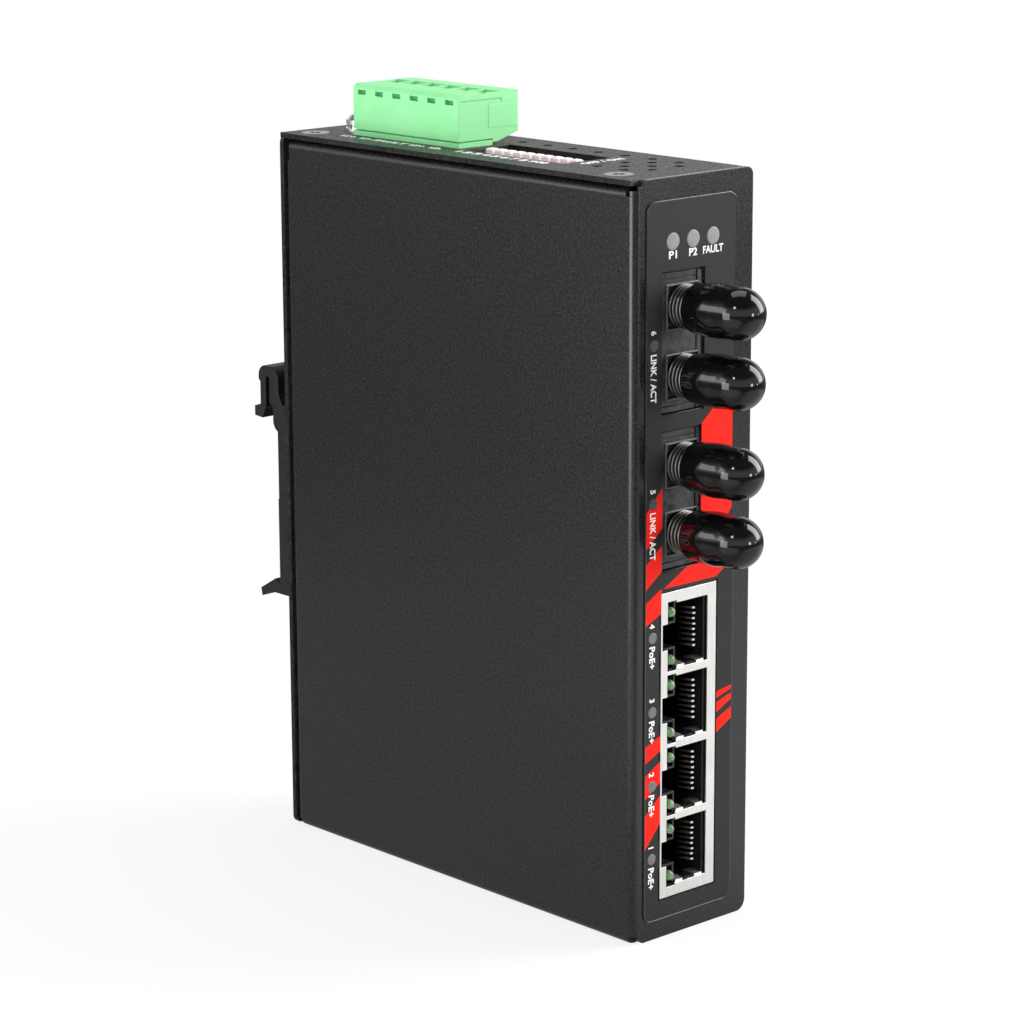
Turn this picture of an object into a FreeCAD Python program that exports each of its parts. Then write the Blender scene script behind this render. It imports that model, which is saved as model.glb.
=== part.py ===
import FreeCAD, Part
import math
import os

os.makedirs("parts", exist_ok=True)
Vec = FreeCAD.Vector

# Housing of two folded shells, all sizes in millimetres
WIDTH = 30.0
DEPTH = 99.0
HEIGHT = 142.0
SHEET = 1.0
INNER_BEND = 0.5            # inside radius of every fold
SEAM = 0.3                  # clearance between the two shells
FLANGE = 3.6                # reach of the inner flanges from the side
RELIEF = 4.0                # length a flange stops short of a corner
WALL_CORNER = 2.2           # free lower corner of a long wall
EDGE_CORNER = 1.5           # free upper corners of a long wall
TAB_REACH = 8.2             # screw tabs of the flanges, from the side
TAB_WIDTH = 9.0
SCREW_INSET = 5.0           # shell screws from the side
SCREW_FRONT = 9.2           # first shell screw from the front
SCREW_REAR = 5.0            # second shell screw from the back
VENT = 2.0                  # diameter of the air holes
VENT_STEP = 3.5             # half pitch of their staggered field
VENT_FRONT = 9.0            # first row from the front
VENT_COLUMN = 8.5           # right-hand column from the middle
VENT_MARGIN = 3.5           # plain sheet kept round a cut-out

# Shares of the height that the devices leave free on the front
SHARE_LOW = 0.37            # under the jack
SHARE_JACK = 0.2075         # between jack and lower module
SHARE_MODULES = 0.1715      # between the modules
STATUS_LIFT = 0.33          # status lights, up the head above the upper module
HEAD_CLEAR = 0.5            # upper module under the setting switches' leads

# Fasteners
M3 = 1.5                    # thread radii
M2_5 = 1.25
M4 = 2.0
COUNTERSINK = 2.75          # radius of a countersunk head
THREAD_FIT = 0.05
SHELL_SCREW = 6.0
CROSS_LENGTH = 2.8          # cross recess of the screw heads
CROSS_WIDTH = 0.6
CROSS_DEPTH = 0.8

# Printed film on the front
FILM = 0.25
FILM_LEFT = 2.7             # margins of the film
FILM_RIGHT = 4.4
FILM_LOW = 3.6
FILM_HIGH = 4.0
FILM_CORNER = 2.0

# Circuit board on spacers from the left side
BOARD = 1.6
STANDOFF = 4.2
STANDOFF_FLATS = 5.5
BOARD_FRONT = 2.2           # gaps from the housing's outside to the board's edges
BOARD_REAR = 3.5
BOARD_LOW = 3.5
BOARD_HIGH = 3.6
NOTCH_REACH = 4.0           # room round the shell screws
NOTCH_DROP = 8.0
BOARD_SCREW = 5.0
PAN_HEAD = 2.75
PAN_RISE = 1.9
PIN_FIT = 0.05              # clearance of a lead in its hole

# Copper jack with its sockets in one row up the front
PORTS = 4
PORT_PITCH = 13.87
JACK_RISE = 14.3
JACK_END = 1.5
JACK_DEPTH = 24.0
JACK_PROUD = 0.3            # in front of the front wall
CUT_GAP = 0.2               # clearance of a device in the sheet
CAN = 0.3                   # shield sheet
CAN_FIT = 0.05
WINDOW = 12.4               # socket window up the front
LIGHT_WINDOW = 13.2
LATCH_WINDOW = 4.9
LATCH_LOW = 0.4             # window edges above the board
LIGHT_LOW = 1.7
SOCKET_LOW = 4.0
SOCKET_HIGH = 12.1
BODY_SETBACK = 0.3
SOCKET_RIM = 0.2            # moulding seen inside the shield's window
SOCKET_CHEEK = 0.6          # and on the side of the contacts
SOCKET_DEPTH = 13.5
CONTACTS = 8
CONTACT_PITCH = 1.02
CONTACT = 0.3
CONTACT_WIDTH = 0.36
CONTACT_STAGGER = 0.12
CONTACT_FRONT = 1.4         # bend of a wire behind the moulding's face
CONTACT_BEND = 0.5
CONTACT_RUN = 7.0           # free end of a wire behind its bend
CONTACT_DROP = 3.55
LIGHT_DEPTH = 6.0
LIGHT_PROUD = 0.5           # a light's nose in front of the shield's face
FINGER = 1.9                # spring fingers of the shield
FINGER_LENGTH = 3.4
FINGER_BULGE = 0.45

# Fibre modules, one pair of receptacles each
MODULE_RISE = 10.3
MODULE_SPAN = 25.4
MODULE_DEPTH = 37.0
MODULE_RECESS = 0.45        # face behind the front wall's outside
RECEPTACLE_PITCH = 12.7
RECEPTACLE_RISE = 5.75
POCKET = 7.7
POCKET_DEPTH = 0.5
POCKET_RIM = 0.35           # raised rim round a pocket
POCKET_LIP = 0.15           # and its height
GROOVE = 0.3
GROOVE_INSET = 1.0
SLEEVE = 4.1                # ridge radius
SLEEVE_GROOVE = 3.75
SLEEVE_RIDGES = 4
SLEEVE_PITCH = 0.9
BARREL = 3.5
BARREL_LENGTH = 12.0
BARREL_BORE = 1.27
MODULE_PINS = 9
LEAD_PITCH = 2.54
LEAD = 0.5                  # square leads
LEAD_BEYOND = 1.0           # solder end behind the board

# Dust caps pushed over the receptacles
CAP_GAP = 0.25              # open end in front of the last ridge
CAP_LOOSE = 0.5             # bore over the barrel's radius
CAP_WALL = 0.55             # wall at the open end
CAP_BELLY = 0.42            # outside swells from the open end's radius by these
CAP_SHOULDER = 0.4
CAP_WAIST = 0.17
CAP_ROUND = 0.23
CAP_BODY = 10.3             # open end to the round end's centre
CAP_HOLLOW = 9.0
CAP_TILTS = (1.4, 1.9, 1.3, 2.1)    # the soft caps sit nose up, in degrees

# Row of setting switches under the top wall
DIP_POLES = 10
DIP_OFF = 7.1               # middle of the switches off the board
DIP_GAP = 2.1               # switches in front of the terminal shroud
DIP_WIDTH = 9.8
DIP_END = 0.84              # body beyond the outer pitch lines
DIP_DROP = 1.0              # body's top under the top wall's outside
DIP_HEIGHT = 7.0
DIP_TRAVEL = 2.0
DIP_CUT_LEFT = 1.5          # cut-out beyond the body
DIP_CUT_RIGHT = 0.6
DIP_CUT_END = 0.2
SLIDER = 1.8
SLIDER_FOOT = 2.14
SLIDER_GAP = 0.05
SLIDER_RISE = 0.1           # slider above the top wall
DIP_CEILING = 1.6           # body over the sliders' feet
FOOT_HEIGHT = 1.7
DIP_LEG_NEAR = 1.5          # leads below the body
DIP_LEG_FAR = 3.5
DIP_LEG_SPREAD = 2.5

# Plug-in terminal block
POLES = 6
POLE_PITCH = 5.08
TERM_BACK = 12.91           # terminal poles' end from the back
HEADER_OFF = 1.4            # shroud off the board
HEADER_WIDTH = 8.5
HEADER_END = 0.2            # shroud beyond the outer pitch lines
HEADER_PROUD = 0.93
HEADER_HEIGHT = 11.9
HEADER_WALL = 0.9
HEADER_FLOOR = 1.6
HEADER_PIN = 1.0
HEADER_PIN_RISE = 8.0
HEADER_PIN_DROP = 2.0
PLUG_FIT = 0.15
PLUG_GAP = 0.25             # plug over the shroud's rim
PLUG_WIDTH = 15.3
PLUG_TOP = 9.95             # plug's top over the top wall
PLUG_UNDER = 0.5            # plug's underside over the top wall
PLUG_RIGHT = 2.15           # right-hand lower edge over the top wall
PLUG_BEVEL = 0.8
PLUG_SLOT = 2.3
PLUG_SLOT_HEIGHT = 0.9
PLUG_SLOT_DEPTH = 0.8
PLUG_SLOT_DROP = 1.55
PLUG_PAD = 0.05
PLUG_LINE = 0.2             # lid line on the plug's ends
PLUG_LINE_DROP = 1.2        # under its top
PLUG_LINE_SHARE = 0.72      # share of its width
PLUG_LINE_HOOK = 0.8        # short turn down at the line's end
CAGE_OFF = 8.9              # middle of the wire entries from the plug's left side
CAGE = 4.1
CAGE_HEIGHT = 5.2
CAGE_HOLLOW = 2.4
FUNNEL = 4.5
FUNNEL_DEPTH = 1.3
CLAMP_HEAD = 1.8
CLAMP_HEAD_LENGTH = 1.4
CLAMP_SHANK = 1.3
TINE = 0.4
TINE_BORE = 2.4

# Earth point on the top wall
GROUND_OFF = 7.1            # earth screw off the board
GROUND_BACK = 8.9
GROUND_HEAD = 3.3
GROUND_RISE = 1.8
GROUND_SCREW = 8.0
WASHER = 3.4
WASHER_SHEET = 0.6
LOCK_SHEET = 0.8

# Lights seen through the film
STATUS_FIRST = 2.4          # first light above the board
STATUS_STEP = 5.12
STATUS_LIGHT = 1.5
STATUS_HOLE = 1.65
HOLDER_RISE = 15.0
HOLDER_HEIGHT = 5.2
HOLDER_DEPTH = 7.2
HOLDER_BORE = 6.0
PORT_LIGHT = 1.0
PORT_LIGHT_SPAN = 1.6
PORT_LIGHT_LENGTH = 2.3
PORT_HOLE = 1.1

# Rail clip on the back
CLIP_INSET = 1.5
CLIP_PLATE = 4.4
CLIP_RISE = 0.4713          # middle of the rail as a share of the height
RAIL = 35.0
RAIL_DROP = 2.1             # rail's lower edge over the underside
CLIP_HOLES = 16.0           # distance of the clip screws
CLIP_STEP = 0.2             # lower half of the plate is thicker by this
SLOT_REACH = 2.45           # near wall of the slot behind the spring, from the plate
SLOT = 1.15                 # slot beside the sprung leg
SLOT_RISE = 7.1             # its round end over the rail's edge
LEG = 1.7                   # sprung leg
HOOK_REACH = 7.2            # tip of the sprung hook from the plate
CROWN_RISE = 9.7            # bow of the spring over the rail's edge
CROWN_BEND = 0.7
TOE_REACH = 6.5             # fixed hook's toe from the plate
TOE_DROP = 1.4
CLIP_SCREW = 8.0

# Parts on the board
CHIP = 20.0
CHIP_RISE = 1.4
PAD_RISE = 0.5
SINK = 24.0
SINK_BASE = 2.0
SINK_RISE = 9.0
SINK_FINS = 7
SINK_FIN = 1.2
PART_GAP = 3.4              # room between neighbours on the board
TRANSFORMER_DEEP = 12.4
TRANSFORMER_TALL = 11.6
TRANSFORMER_RISE = 6.5
CRYSTAL_DEEP = 4.6
CRYSTAL_TALL = 11.0
CRYSTAL_RISE = 3.6
CONTROLLER = 12.0
CONTROLLER_RISE = 1.2
CAPACITOR = 5.0             # radius
CAPACITOR_NECK = 0.3
CAPACITOR_RISE = 18.0
CAPACITORS = 3
INDUCTOR = 12.0
INDUCTOR_RISE = 7.5
INDUCTORS = 2
RELAY_DEEP = 10.0
RELAY_TALL = 20.0
RELAY_RISE = 11.0
FUSE_DEEP = 4.0
FUSE_TALL = 10.0
FUSE_RISE = 4.2

# Planes and lines that follow from the sizes
LEFT = -WIDTH / 2
RIGHT = WIDTH / 2
FRONT = -DEPTH / 2
BACK = DEPTH / 2
TOP = HEIGHT
MIDDLE = Vec(0, 0, HEIGHT / 2)
BEND = SHEET + INNER_BEND
IN_TOP = TOP - SHEET - SEAM
IN_BACK = BACK - SHEET - SEAM
BOARD_BACK = LEFT + SHEET + STANDOFF
BOARD_X = BOARD_BACK + BOARD
BOARD_Y0 = FRONT + BOARD_FRONT
BOARD_Y1 = BACK - BOARD_REAR
HEAD = DIP_DROP + DIP_HEIGHT + DIP_LEG_FAR + HEAD_CLEAR
JACK_Y = FRONT - JACK_PROUD
JACK_HALF = PORTS * PORT_PITCH / 2 + JACK_END
SPARE = HEIGHT - 2 * JACK_HALF - 2 * MODULE_SPAN - HEAD
JACK_Z = SPARE * SHARE_LOW + JACK_HALF
LOWER_Z = JACK_Z + JACK_HALF + SPARE * SHARE_JACK + MODULE_SPAN / 2
UPPER_Z = LOWER_Z + MODULE_SPAN + SPARE * SHARE_MODULES
MODULE_Z = (UPPER_Z, LOWER_Z)
MODULE_TOP = UPPER_Z + MODULE_SPAN / 2
BODY_Y = JACK_Y + CAN + BODY_SETBACK
MODULE_Y = FRONT + MODULE_RECESS
RECEPTACLE_X = BOARD_X + RECEPTACLE_RISE
SLEEVE_START = POCKET_LIP + PIN_FIT
CAP_START = SLEEVE_START + (SLEEVE_RIDGES - 0.4) * SLEEVE_PITCH + CAP_GAP
CAP_BORE = BARREL + CAP_LOOSE
CAP_MOUTH = CAP_BORE + CAP_WALL
CAP_DOME = CAP_MOUTH + CAP_ROUND
DIP_X = BOARD_X + DIP_OFF
DIP_TOP = TOP - DIP_DROP
DIP_LOW = DIP_TOP - DIP_HEIGHT
DIP_HALF = DIP_POLES * LEAD_PITCH / 2 + DIP_END
TERM_Y = BACK - TERM_BACK - POLES * POLE_PITCH / 2
HEADER_X0 = BOARD_X + HEADER_OFF
HEADER_X1 = HEADER_X0 + HEADER_WIDTH
HEADER_TOP = TOP + HEADER_PROUD
HEADER_LOW = HEADER_TOP - HEADER_HEIGHT
HEADER_HALF = POLES * POLE_PITCH / 2 + HEADER_END
DIP_Y = TERM_Y - HEADER_HALF - DIP_GAP - DIP_HALF
HEADER_PIN_X = (HEADER_X0 + HEADER_X1) / 2
PLUG_HALF = POLES * POLE_PITCH / 2
PLUG_X1 = HEADER_X0 + PLUG_WIDTH
PLUG_Z1 = TOP + PLUG_TOP
PLUG_REST = HEADER_TOP + PLUG_GAP
CAGE_X = HEADER_X0 + CAGE_OFF
GROUND_X = BOARD_X + GROUND_OFF
GROUND_Y = BACK - GROUND_BACK
STATUS_X = BOARD_X + STATUS_FIRST
STATUS_Z = MODULE_TOP + (TOP - MODULE_TOP) * STATUS_LIFT
CLIP_WIDTH = WIDTH - 2 * CLIP_INSET
CLIP_MIDDLE = HEIGHT * CLIP_RISE
CLIP_LOW = CLIP_MIDDLE - RAIL / 2 - RAIL_DROP
CLIP_HOLE_LOW = CLIP_MIDDLE - CLIP_HOLES / 2
CLIP_HOLE_HIGH = CLIP_MIDDLE + CLIP_HOLES / 2
X_AXIS = Vec(1, 0, 0)
Y_AXIS = Vec(0, 1, 0)
Z_AXIS = Vec(0, 0, 1)


def box(x0, x1, y0, y1, z0, z1):
    """Block between two limits on each axis."""
    return Part.makeBox(x1 - x0, y1 - y0, z1 - z0, Vec(x0, y0, z0))


def rod(radius, start, direction, length):
    """Round bar from a point along a direction."""
    return Part.makeCylinder(radius, length, start, direction)


def join(shapes):
    """One solid from pieces that share faces or overlap."""
    whole = shapes[0].multiFuse(shapes[1:])
    return whole.removeSplitter()


def cut(shape, tools):
    """A shape with every tool taken away from it."""
    return shape.cut(Part.makeCompound(tools))


def prism(points, sweep):
    """Solid swept from a closed polygon along a vector."""
    wire = Part.makePolygon(points + [points[0]])
    return Part.Face(wire).extrude(sweep)


def aim(shape, point, direction):
    """Copy of a shape built along +Z, moved to a point and turned along a direction."""
    turned = shape.copy()
    turned.Placement = FreeCAD.Placement(point, FreeCAD.Rotation(Z_AXIS, direction))
    return turned


def frontward(edges):
    """Closed profile in the plane of radius and reach, turned about the front-to-back axis."""
    face = Part.Face(Part.Wire(edges))
    return face.revolve(Vec(0, 0, 0), Y_AXIS, 360)


def polyline(pairs):
    """Edges through pairs of reach and radius, reach counted towards the front."""
    points = [Vec(radius, -reach, 0) for reach, radius in pairs]
    return [Part.LineSegment(a, b).toShape() for a, b in zip(points, points[1:])]


def rounded(u0, u1, v0, v1, radii, place):
    """Closed face of a rectangle; corner radii run from low u, low v anticlockwise."""
    ends = ((u0, v0, 0, 1, 1, 0), (u1, v0, -1, 0, 0, 1), (u1, v1, 0, -1, -1, 0), (u0, v1, 1, 0, 0, -1))
    slack = 1 - math.sqrt(0.5)
    arcs = []
    stops = []
    for (u, v, iu, iv, ou, ov), r in zip(ends, radii):
        enter = place(u + iu * r, v + iv * r)
        leave = place(u + ou * r, v + ov * r)
        bulge = place(u + (iu + ou) * r * slack, v + (iv + ov) * r * slack)
        stops.append((enter, leave))
        arcs.append(Part.Arc(enter, bulge, leave).toShape() if r > 0 else None)
    edges = []
    for index, arc in enumerate(arcs):
        if arc:
            edges.append(arc)
        following = stops[(index + 1) % 4][0]
        edges.append(Part.LineSegment(stops[index][1], following).toShape())
    return Part.Face(Part.Wire(edges))


def fold(corner, run, one, other):
    """Quarter tube of a bent sheet round a line, from one direction to the other."""
    inner = INNER_BEND
    half = (one + other).normalize()
    outside = Part.Arc(corner + one * BEND, corner + half * BEND, corner + other * BEND).toShape()
    inside = Part.Arc(corner + one * inner, corner + half * inner, corner + other * inner).toShape()
    first = Part.LineSegment(corner + one * inner, corner + one * BEND).toShape()
    last = Part.LineSegment(corner + other * BEND, corner + other * inner).toShape()
    return Part.Face(Part.Wire([first, outside, last, inside])).extrude(run)


def cross_recess():
    """Cross cut into a screw head, opening at the origin and running along +Z."""
    long = CROSS_LENGTH / 2
    slim = CROSS_WIDTH / 2
    bar = box(-long, long, -slim, slim, 0, CROSS_DEPTH)
    return bar.fuse(box(-slim, slim, -long, long, 0, CROSS_DEPTH))


def countersunk(length):
    """Countersunk M3 screw, its flat head at the origin and its shank along +Z."""
    head = Part.makeCone(COUNTERSINK, M3, COUNTERSINK - M3)
    return join([head, rod(M3, Vec(0, 0, 0), Z_AXIS, length)]).cut(cross_recess())


def countersunk_hole(length):
    """Room for a countersunk screw with its thread clearance."""
    wide = COUNTERSINK + THREAD_FIT
    slim = M3 + THREAD_FIT
    head = Part.makeCone(wide, slim, wide - slim)
    return head.fuse(rod(slim, Vec(0, 0, 0), Z_AXIS, length))


def pan_screw(head, rise, shank, length):
    """Pan head screw: head above the origin, shank along +Z."""
    skirt = rise * 0.45
    crown = Part.makeCone(head * 0.72, head, rise - skirt, Vec(0, 0, -rise))
    base = rod(head, Vec(0, 0, -skirt), Z_AXIS, skirt)
    stem = rod(shank, Vec(0, 0, 0), Z_AXIS, length)
    slot = cross_recess()
    slot.translate(Vec(0, 0, -rise))
    return join([crown, base, stem]).cut(slot)


def top_screw_places():
    """Heads of the two screws that hold the top wall to the front shell's flange."""
    x = LEFT + SCREW_INSET
    return [Vec(x, FRONT + SCREW_FRONT, TOP), Vec(x, BACK - SCREW_REAR, TOP)]


def opposite(point):
    """The point met by going through the housing's middle as far again."""
    return MIDDLE * 2 - point


def shell_blank():
    """Left side with front wall and floor folded from it, and flanges inside top and back."""
    depth = IN_BACK - BEND - (FRONT + BEND)
    height = IN_TOP - BEND - BEND
    panel = box(LEFT, LEFT + SHEET, FRONT + BEND, IN_BACK - BEND, BEND, IN_TOP - BEND)
    low = Vec(LEFT + BEND, FRONT + BEND, BEND)
    corners = (EDGE_CORNER, WALL_CORNER, EDGE_CORNER, EDGE_CORNER)
    face = rounded(LEFT + BEND, RIGHT, 0, TOP, corners, lambda u, v: Vec(u, FRONT, v))
    pieces = [panel, face.extrude(Y_AXIS * SHEET)]
    pieces.append(fold(low, Z_AXIS * height, -X_AXIS, -Y_AXIS))
    pieces.append(fold(low, Y_AXIS * depth, -X_AXIS, -Z_AXIS))
    pieces.append(box(LEFT + BEND, RIGHT, FRONT + SHEET + SEAM, IN_BACK, 0, SHEET))
    near = FRONT + RELIEF
    far = IN_BACK - BEND
    high = IN_TOP - BEND
    pieces.append(fold(Vec(LEFT + BEND, near, high), Y_AXIS * (far - near), -X_AXIS, Z_AXIS))
    pieces.append(box(LEFT + BEND, LEFT + FLANGE, near, far, IN_TOP - SHEET, IN_TOP))
    for spot in top_screw_places():
        start = max(near, spot.y - TAB_WIDTH / 2)
        stop = min(far, spot.y + TAB_WIDTH / 2)
        pieces.append(box(LEFT + BEND, LEFT + TAB_REACH, start, stop, IN_TOP - SHEET, IN_TOP))
    upright = IN_TOP - RELIEF - BEND
    pieces.append(fold(Vec(LEFT + BEND, far, BEND), Z_AXIS * upright, -X_AXIS, Y_AXIS))
    pieces.append(box(LEFT + BEND, LEFT + FLANGE, IN_BACK - SHEET, IN_BACK, BEND, BEND + upright))
    return join(pieces)


def vents(floor, blocks):
    """Staggered air holes in a flat wall, left out near cut-outs given as x and y limits."""
    holes = []
    rows = int((DEPTH - 2 * VENT_FRONT) / VENT_STEP)
    for row in range(rows):
        y = FRONT + VENT_FRONT + row * VENT_STEP
        for column in range(5):
            x = VENT_COLUMN - column * VENT_STEP
            near = [b for b in blocks if b[0] - VENT_MARGIN < x < b[1] + VENT_MARGIN
                    and b[2] - VENT_MARGIN < y < b[3] + VENT_MARGIN]
            if (row + column) % 2 and not near:
                holes.append(rod(VENT / 2, Vec(x, y, floor - SHEET), Z_AXIS, 3 * SHEET))
    return holes


def module_cutout(z, grow):
    """Room for a fibre module through wall and film."""
    half = MODULE_SPAN / 2 + CUT_GAP + grow
    right = BOARD_X + MODULE_RISE + CUT_GAP
    return box(BOARD_X - grow, right + grow, FRONT - 2 * FILM, FRONT + 2 * SHEET, z - half, z + half)


def jack_cutout(grow):
    """Room for the copper jack through wall and film."""
    half = JACK_HALF + CUT_GAP + grow
    left = BOARD_X - CUT_GAP - grow
    right = BOARD_X + JACK_RISE + CUT_GAP + grow
    return box(left, right, FRONT - 2 * FILM, FRONT + 2 * SHEET, JACK_Z - half, JACK_Z + half)


def port_heights():
    """Middles of the copper sockets, lowest first."""
    return [JACK_Z + (i - (PORTS - 1) / 2) * PORT_PITCH for i in range(PORTS)]


def port_light_heights():
    """Heights of the lights beside the sockets and the fibre modules."""
    return port_heights() + list(MODULE_Z)


def front_shell():
    """Front shell with its device openings, light holes, floor vents and floor screws."""
    tools = [module_cutout(z, 0) for z in MODULE_Z]
    tools.append(jack_cutout(0))
    for i in range(3):
        start = Vec(STATUS_X + i * STATUS_STEP, FRONT - SHEET, STATUS_Z)
        tools.append(rod(STATUS_HOLE, start, Y_AXIS, 3 * SHEET))
    for z in port_light_heights():
        start = Vec(BOARD_BACK - PORT_LIGHT / 2, FRONT - SHEET, z)
        tools.append(rod(PORT_HOLE, start, Y_AXIS, 3 * SHEET))
    tools += vents(0, [(LEFT, RIGHT, -VENT_STEP, BACK)])
    for spot in top_screw_places():
        tools.append(aim(countersunk_hole(SHELL_SCREW), spot, -Z_AXIS))
        tools.append(aim(countersunk_hole(SHELL_SCREW), opposite(spot), Z_AXIS))
    return cut(shell_blank(), tools)


def rear_shell():
    """Rear shell, the front shell's blank turned inside out through the middle, with its openings."""
    blank = shell_blank()
    for axis in (X_AXIS, Y_AXIS, Z_AXIS):
        blank = blank.mirror(MIDDLE, axis)
    dip = dip_limits()
    header = header_limits()
    earth = (GROUND_X - WASHER, GROUND_X + WASHER, GROUND_Y - WASHER, GROUND_Y + WASHER)
    tools = [box(*limits, TOP - 3 * SHEET, TOP + SHEET) for limits in (dip, header)]
    tools += vents(TOP, [dip, header, earth])
    tools.append(rod(M4 + THREAD_FIT, Vec(GROUND_X, GROUND_Y, TOP - 3 * SHEET), Z_AXIS, 4 * SHEET))
    for z in (CLIP_HOLE_LOW, CLIP_HOLE_HIGH):
        tools.append(rod(M3 + THREAD_FIT, Vec(0, BACK + SHEET, z), -Y_AXIS, 4 * SHEET))
    for spot in top_screw_places():
        tools.append(aim(countersunk_hole(SHELL_SCREW), spot, -Z_AXIS))
        tools.append(aim(countersunk_hole(SHELL_SCREW), opposite(spot), Z_AXIS))
    return cut(blank, tools)


def shell_screws():
    """Two countersunk screws in the top wall and two in the floor."""
    screws = []
    for spot in top_screw_places():
        screws.append(aim(countersunk(SHELL_SCREW), spot, -Z_AXIS))
        screws.append(aim(countersunk(SHELL_SCREW), opposite(spot), Z_AXIS))
    return screws


def front_overlay():
    """Thin film on the front wall, cut out for the modules and the jack."""
    corners = (FILM_CORNER,) * 4
    face = rounded(LEFT + FILM_LEFT, RIGHT - FILM_RIGHT, FILM_LOW, TOP - FILM_HIGH, corners,
                   lambda u, v: Vec(u, FRONT, v))
    tools = [module_cutout(z, CUT_GAP) for z in MODULE_Z]
    tools.append(jack_cutout(CUT_GAP))
    return cut(face.extrude(-Y_AXIS * FILM), tools)


def board_screw_places():
    """Depths and heights of the board's four fixings."""
    room = PAN_HEAD + PART_GAP / 3
    low = BOARD_LOW + room
    high = DIP_LOW - PAN_HEAD - HEAD_CLEAR
    rear = BOARD_Y1 - room
    holder = FRONT + SHEET + SEAM + HOLDER_DEPTH
    return [(JACK_Y + JACK_DEPTH + room, low), (holder + room, high), (rear, low), (rear, high)]


def lead_hole(x0, x1, y, z, size):
    """Square hole for a lead through the board."""
    half = size / 2 + PIN_FIT
    return box(x0, x1, y - half, y + half, z - half, z + half)


def main_board():
    """Board with notched upper corners, fixing holes and lead holes."""
    top = TOP - BOARD_HIGH
    front, rear = top_screw_places()
    step = TOP - NOTCH_DROP
    outline = [(BOARD_Y0, BOARD_LOW), (BOARD_Y1, BOARD_LOW), (BOARD_Y1, step),
               (rear.y - NOTCH_REACH, step), (rear.y - NOTCH_REACH, top),
               (front.y + NOTCH_REACH, top), (front.y + NOTCH_REACH, step), (BOARD_Y0, step)]
    plate = prism([Vec(BOARD_BACK, y, z) for y, z in outline], X_AXIS * BOARD)
    x0 = BOARD_BACK - BOARD
    x1 = BOARD_X + BOARD
    tools = [rod(M2_5 + 2 * THREAD_FIT, Vec(x0, y, z), X_AXIS, 3 * BOARD) for y, z in board_screw_places()]
    tools += [lead_hole(x0, x1, y, z, LEAD) for y, z in module_pin_places()]
    tools += [lead_hole(x0, x1, y, DIP_LOW - drop, LEAD)
              for y in dip_rows() for drop in (DIP_LEG_NEAR, DIP_LEG_FAR)]
    tools += [lead_hole(x0, x1, y, header_leg_height(), HEADER_PIN) for y in pole_rows()]
    return cut(plate, tools)


def board_standoffs():
    """Hexagonal spacers riveted to the left side."""
    radius = STANDOFF_FLATS / math.sqrt(3)
    points = [Vec(radius * math.cos(math.radians(60 * i)), radius * math.sin(math.radians(60 * i)), 0)
              for i in range(6)]
    hexagon = prism(points, Z_AXIS * STANDOFF).cut(rod(M2_5 + THREAD_FIT, Vec(0, 0, 0), Z_AXIS, STANDOFF))
    return [aim(hexagon, Vec(LEFT + SHEET, y, z), X_AXIS) for y, z in board_screw_places()]


def board_screws():
    """Pan head screws from the board into the spacers."""
    screw = pan_screw(PAN_HEAD, PAN_RISE, M2_5, BOARD_SCREW)
    return [aim(screw, Vec(BOARD_X, y, z), -X_AXIS) for y, z in board_screw_places()]


def jack_shield():
    """Folded can, open to the board, with one stepped window and two spring fingers a socket."""
    back = JACK_Y + JACK_DEPTH
    top = BOARD_X + JACK_RISE
    outer = box(BOARD_X, top, JACK_Y, back, JACK_Z - JACK_HALF, JACK_Z + JACK_HALF)
    inner = JACK_HALF - CAN
    hollow = box(BOARD_X - CAN, top - CAN, JACK_Y + CAN, back - CAN, JACK_Z - inner, JACK_Z + inner)
    tools = [hollow]
    fingers = []
    for z in port_heights():
        steps = ((WINDOW, SOCKET_LOW, SOCKET_HIGH), (LIGHT_WINDOW, LIGHT_LOW, SOCKET_LOW),
                 (LATCH_WINDOW, LATCH_LOW, SOCKET_LOW))
        for span, low, high in steps:
            tools.append(box(BOARD_X + low, BOARD_X + high, JACK_Y - CAN, JACK_Y + 2 * CAN,
                             z - span / 2, z + span / 2))
        fingers += socket_fingers(z)
    return join([cut(outer, tools)] + fingers)


def socket_fingers(z):
    """Bowed springs on the socket's lower side, from behind the window's edge back along the moulding."""
    back = JACK_Y + CAN
    root = back + BODY_SETBACK / 2
    edge = WINDOW / 2
    inner = edge - SOCKET_RIM
    end = back + FINGER_LENGTH
    bow = [(back - CAN / 2, edge), (back - CAN / 2, edge + CAN), (root, edge + CAN), (root, inner - CAN_FIT),
           (end, inner - CAN_FIT), (end, inner - CAN / 2), ((back + end) / 2, inner - FINGER_BULGE),
           (back, inner - CAN / 2), (back, edge)]
    fingers = []
    for low in (SOCKET_LOW + 2 * SOCKET_RIM, SOCKET_HIGH - SOCKET_CHEEK - 2 * CAN_FIT - FINGER):
        points = [Vec(BOARD_X + low, y, z - reach) for y, reach in bow]
        fingers.append(prism(points, X_AXIS * FINGER))
    return fingers


def light_pocket(z, side, fit):
    """Corner recess for a socket's light, shrunk by a fit for the light itself."""
    inner = LATCH_WINDOW / 2 + SOCKET_RIM + fit
    outer = LIGHT_WINDOW / 2 - SOCKET_RIM - fit
    z0, z1 = sorted((z + side * inner, z + side * outer))
    low = BOARD_X + LIGHT_LOW + SOCKET_RIM / 2 + fit
    high = BOARD_X + SOCKET_LOW - SOCKET_RIM - fit
    return low, high, z0, z1


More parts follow.
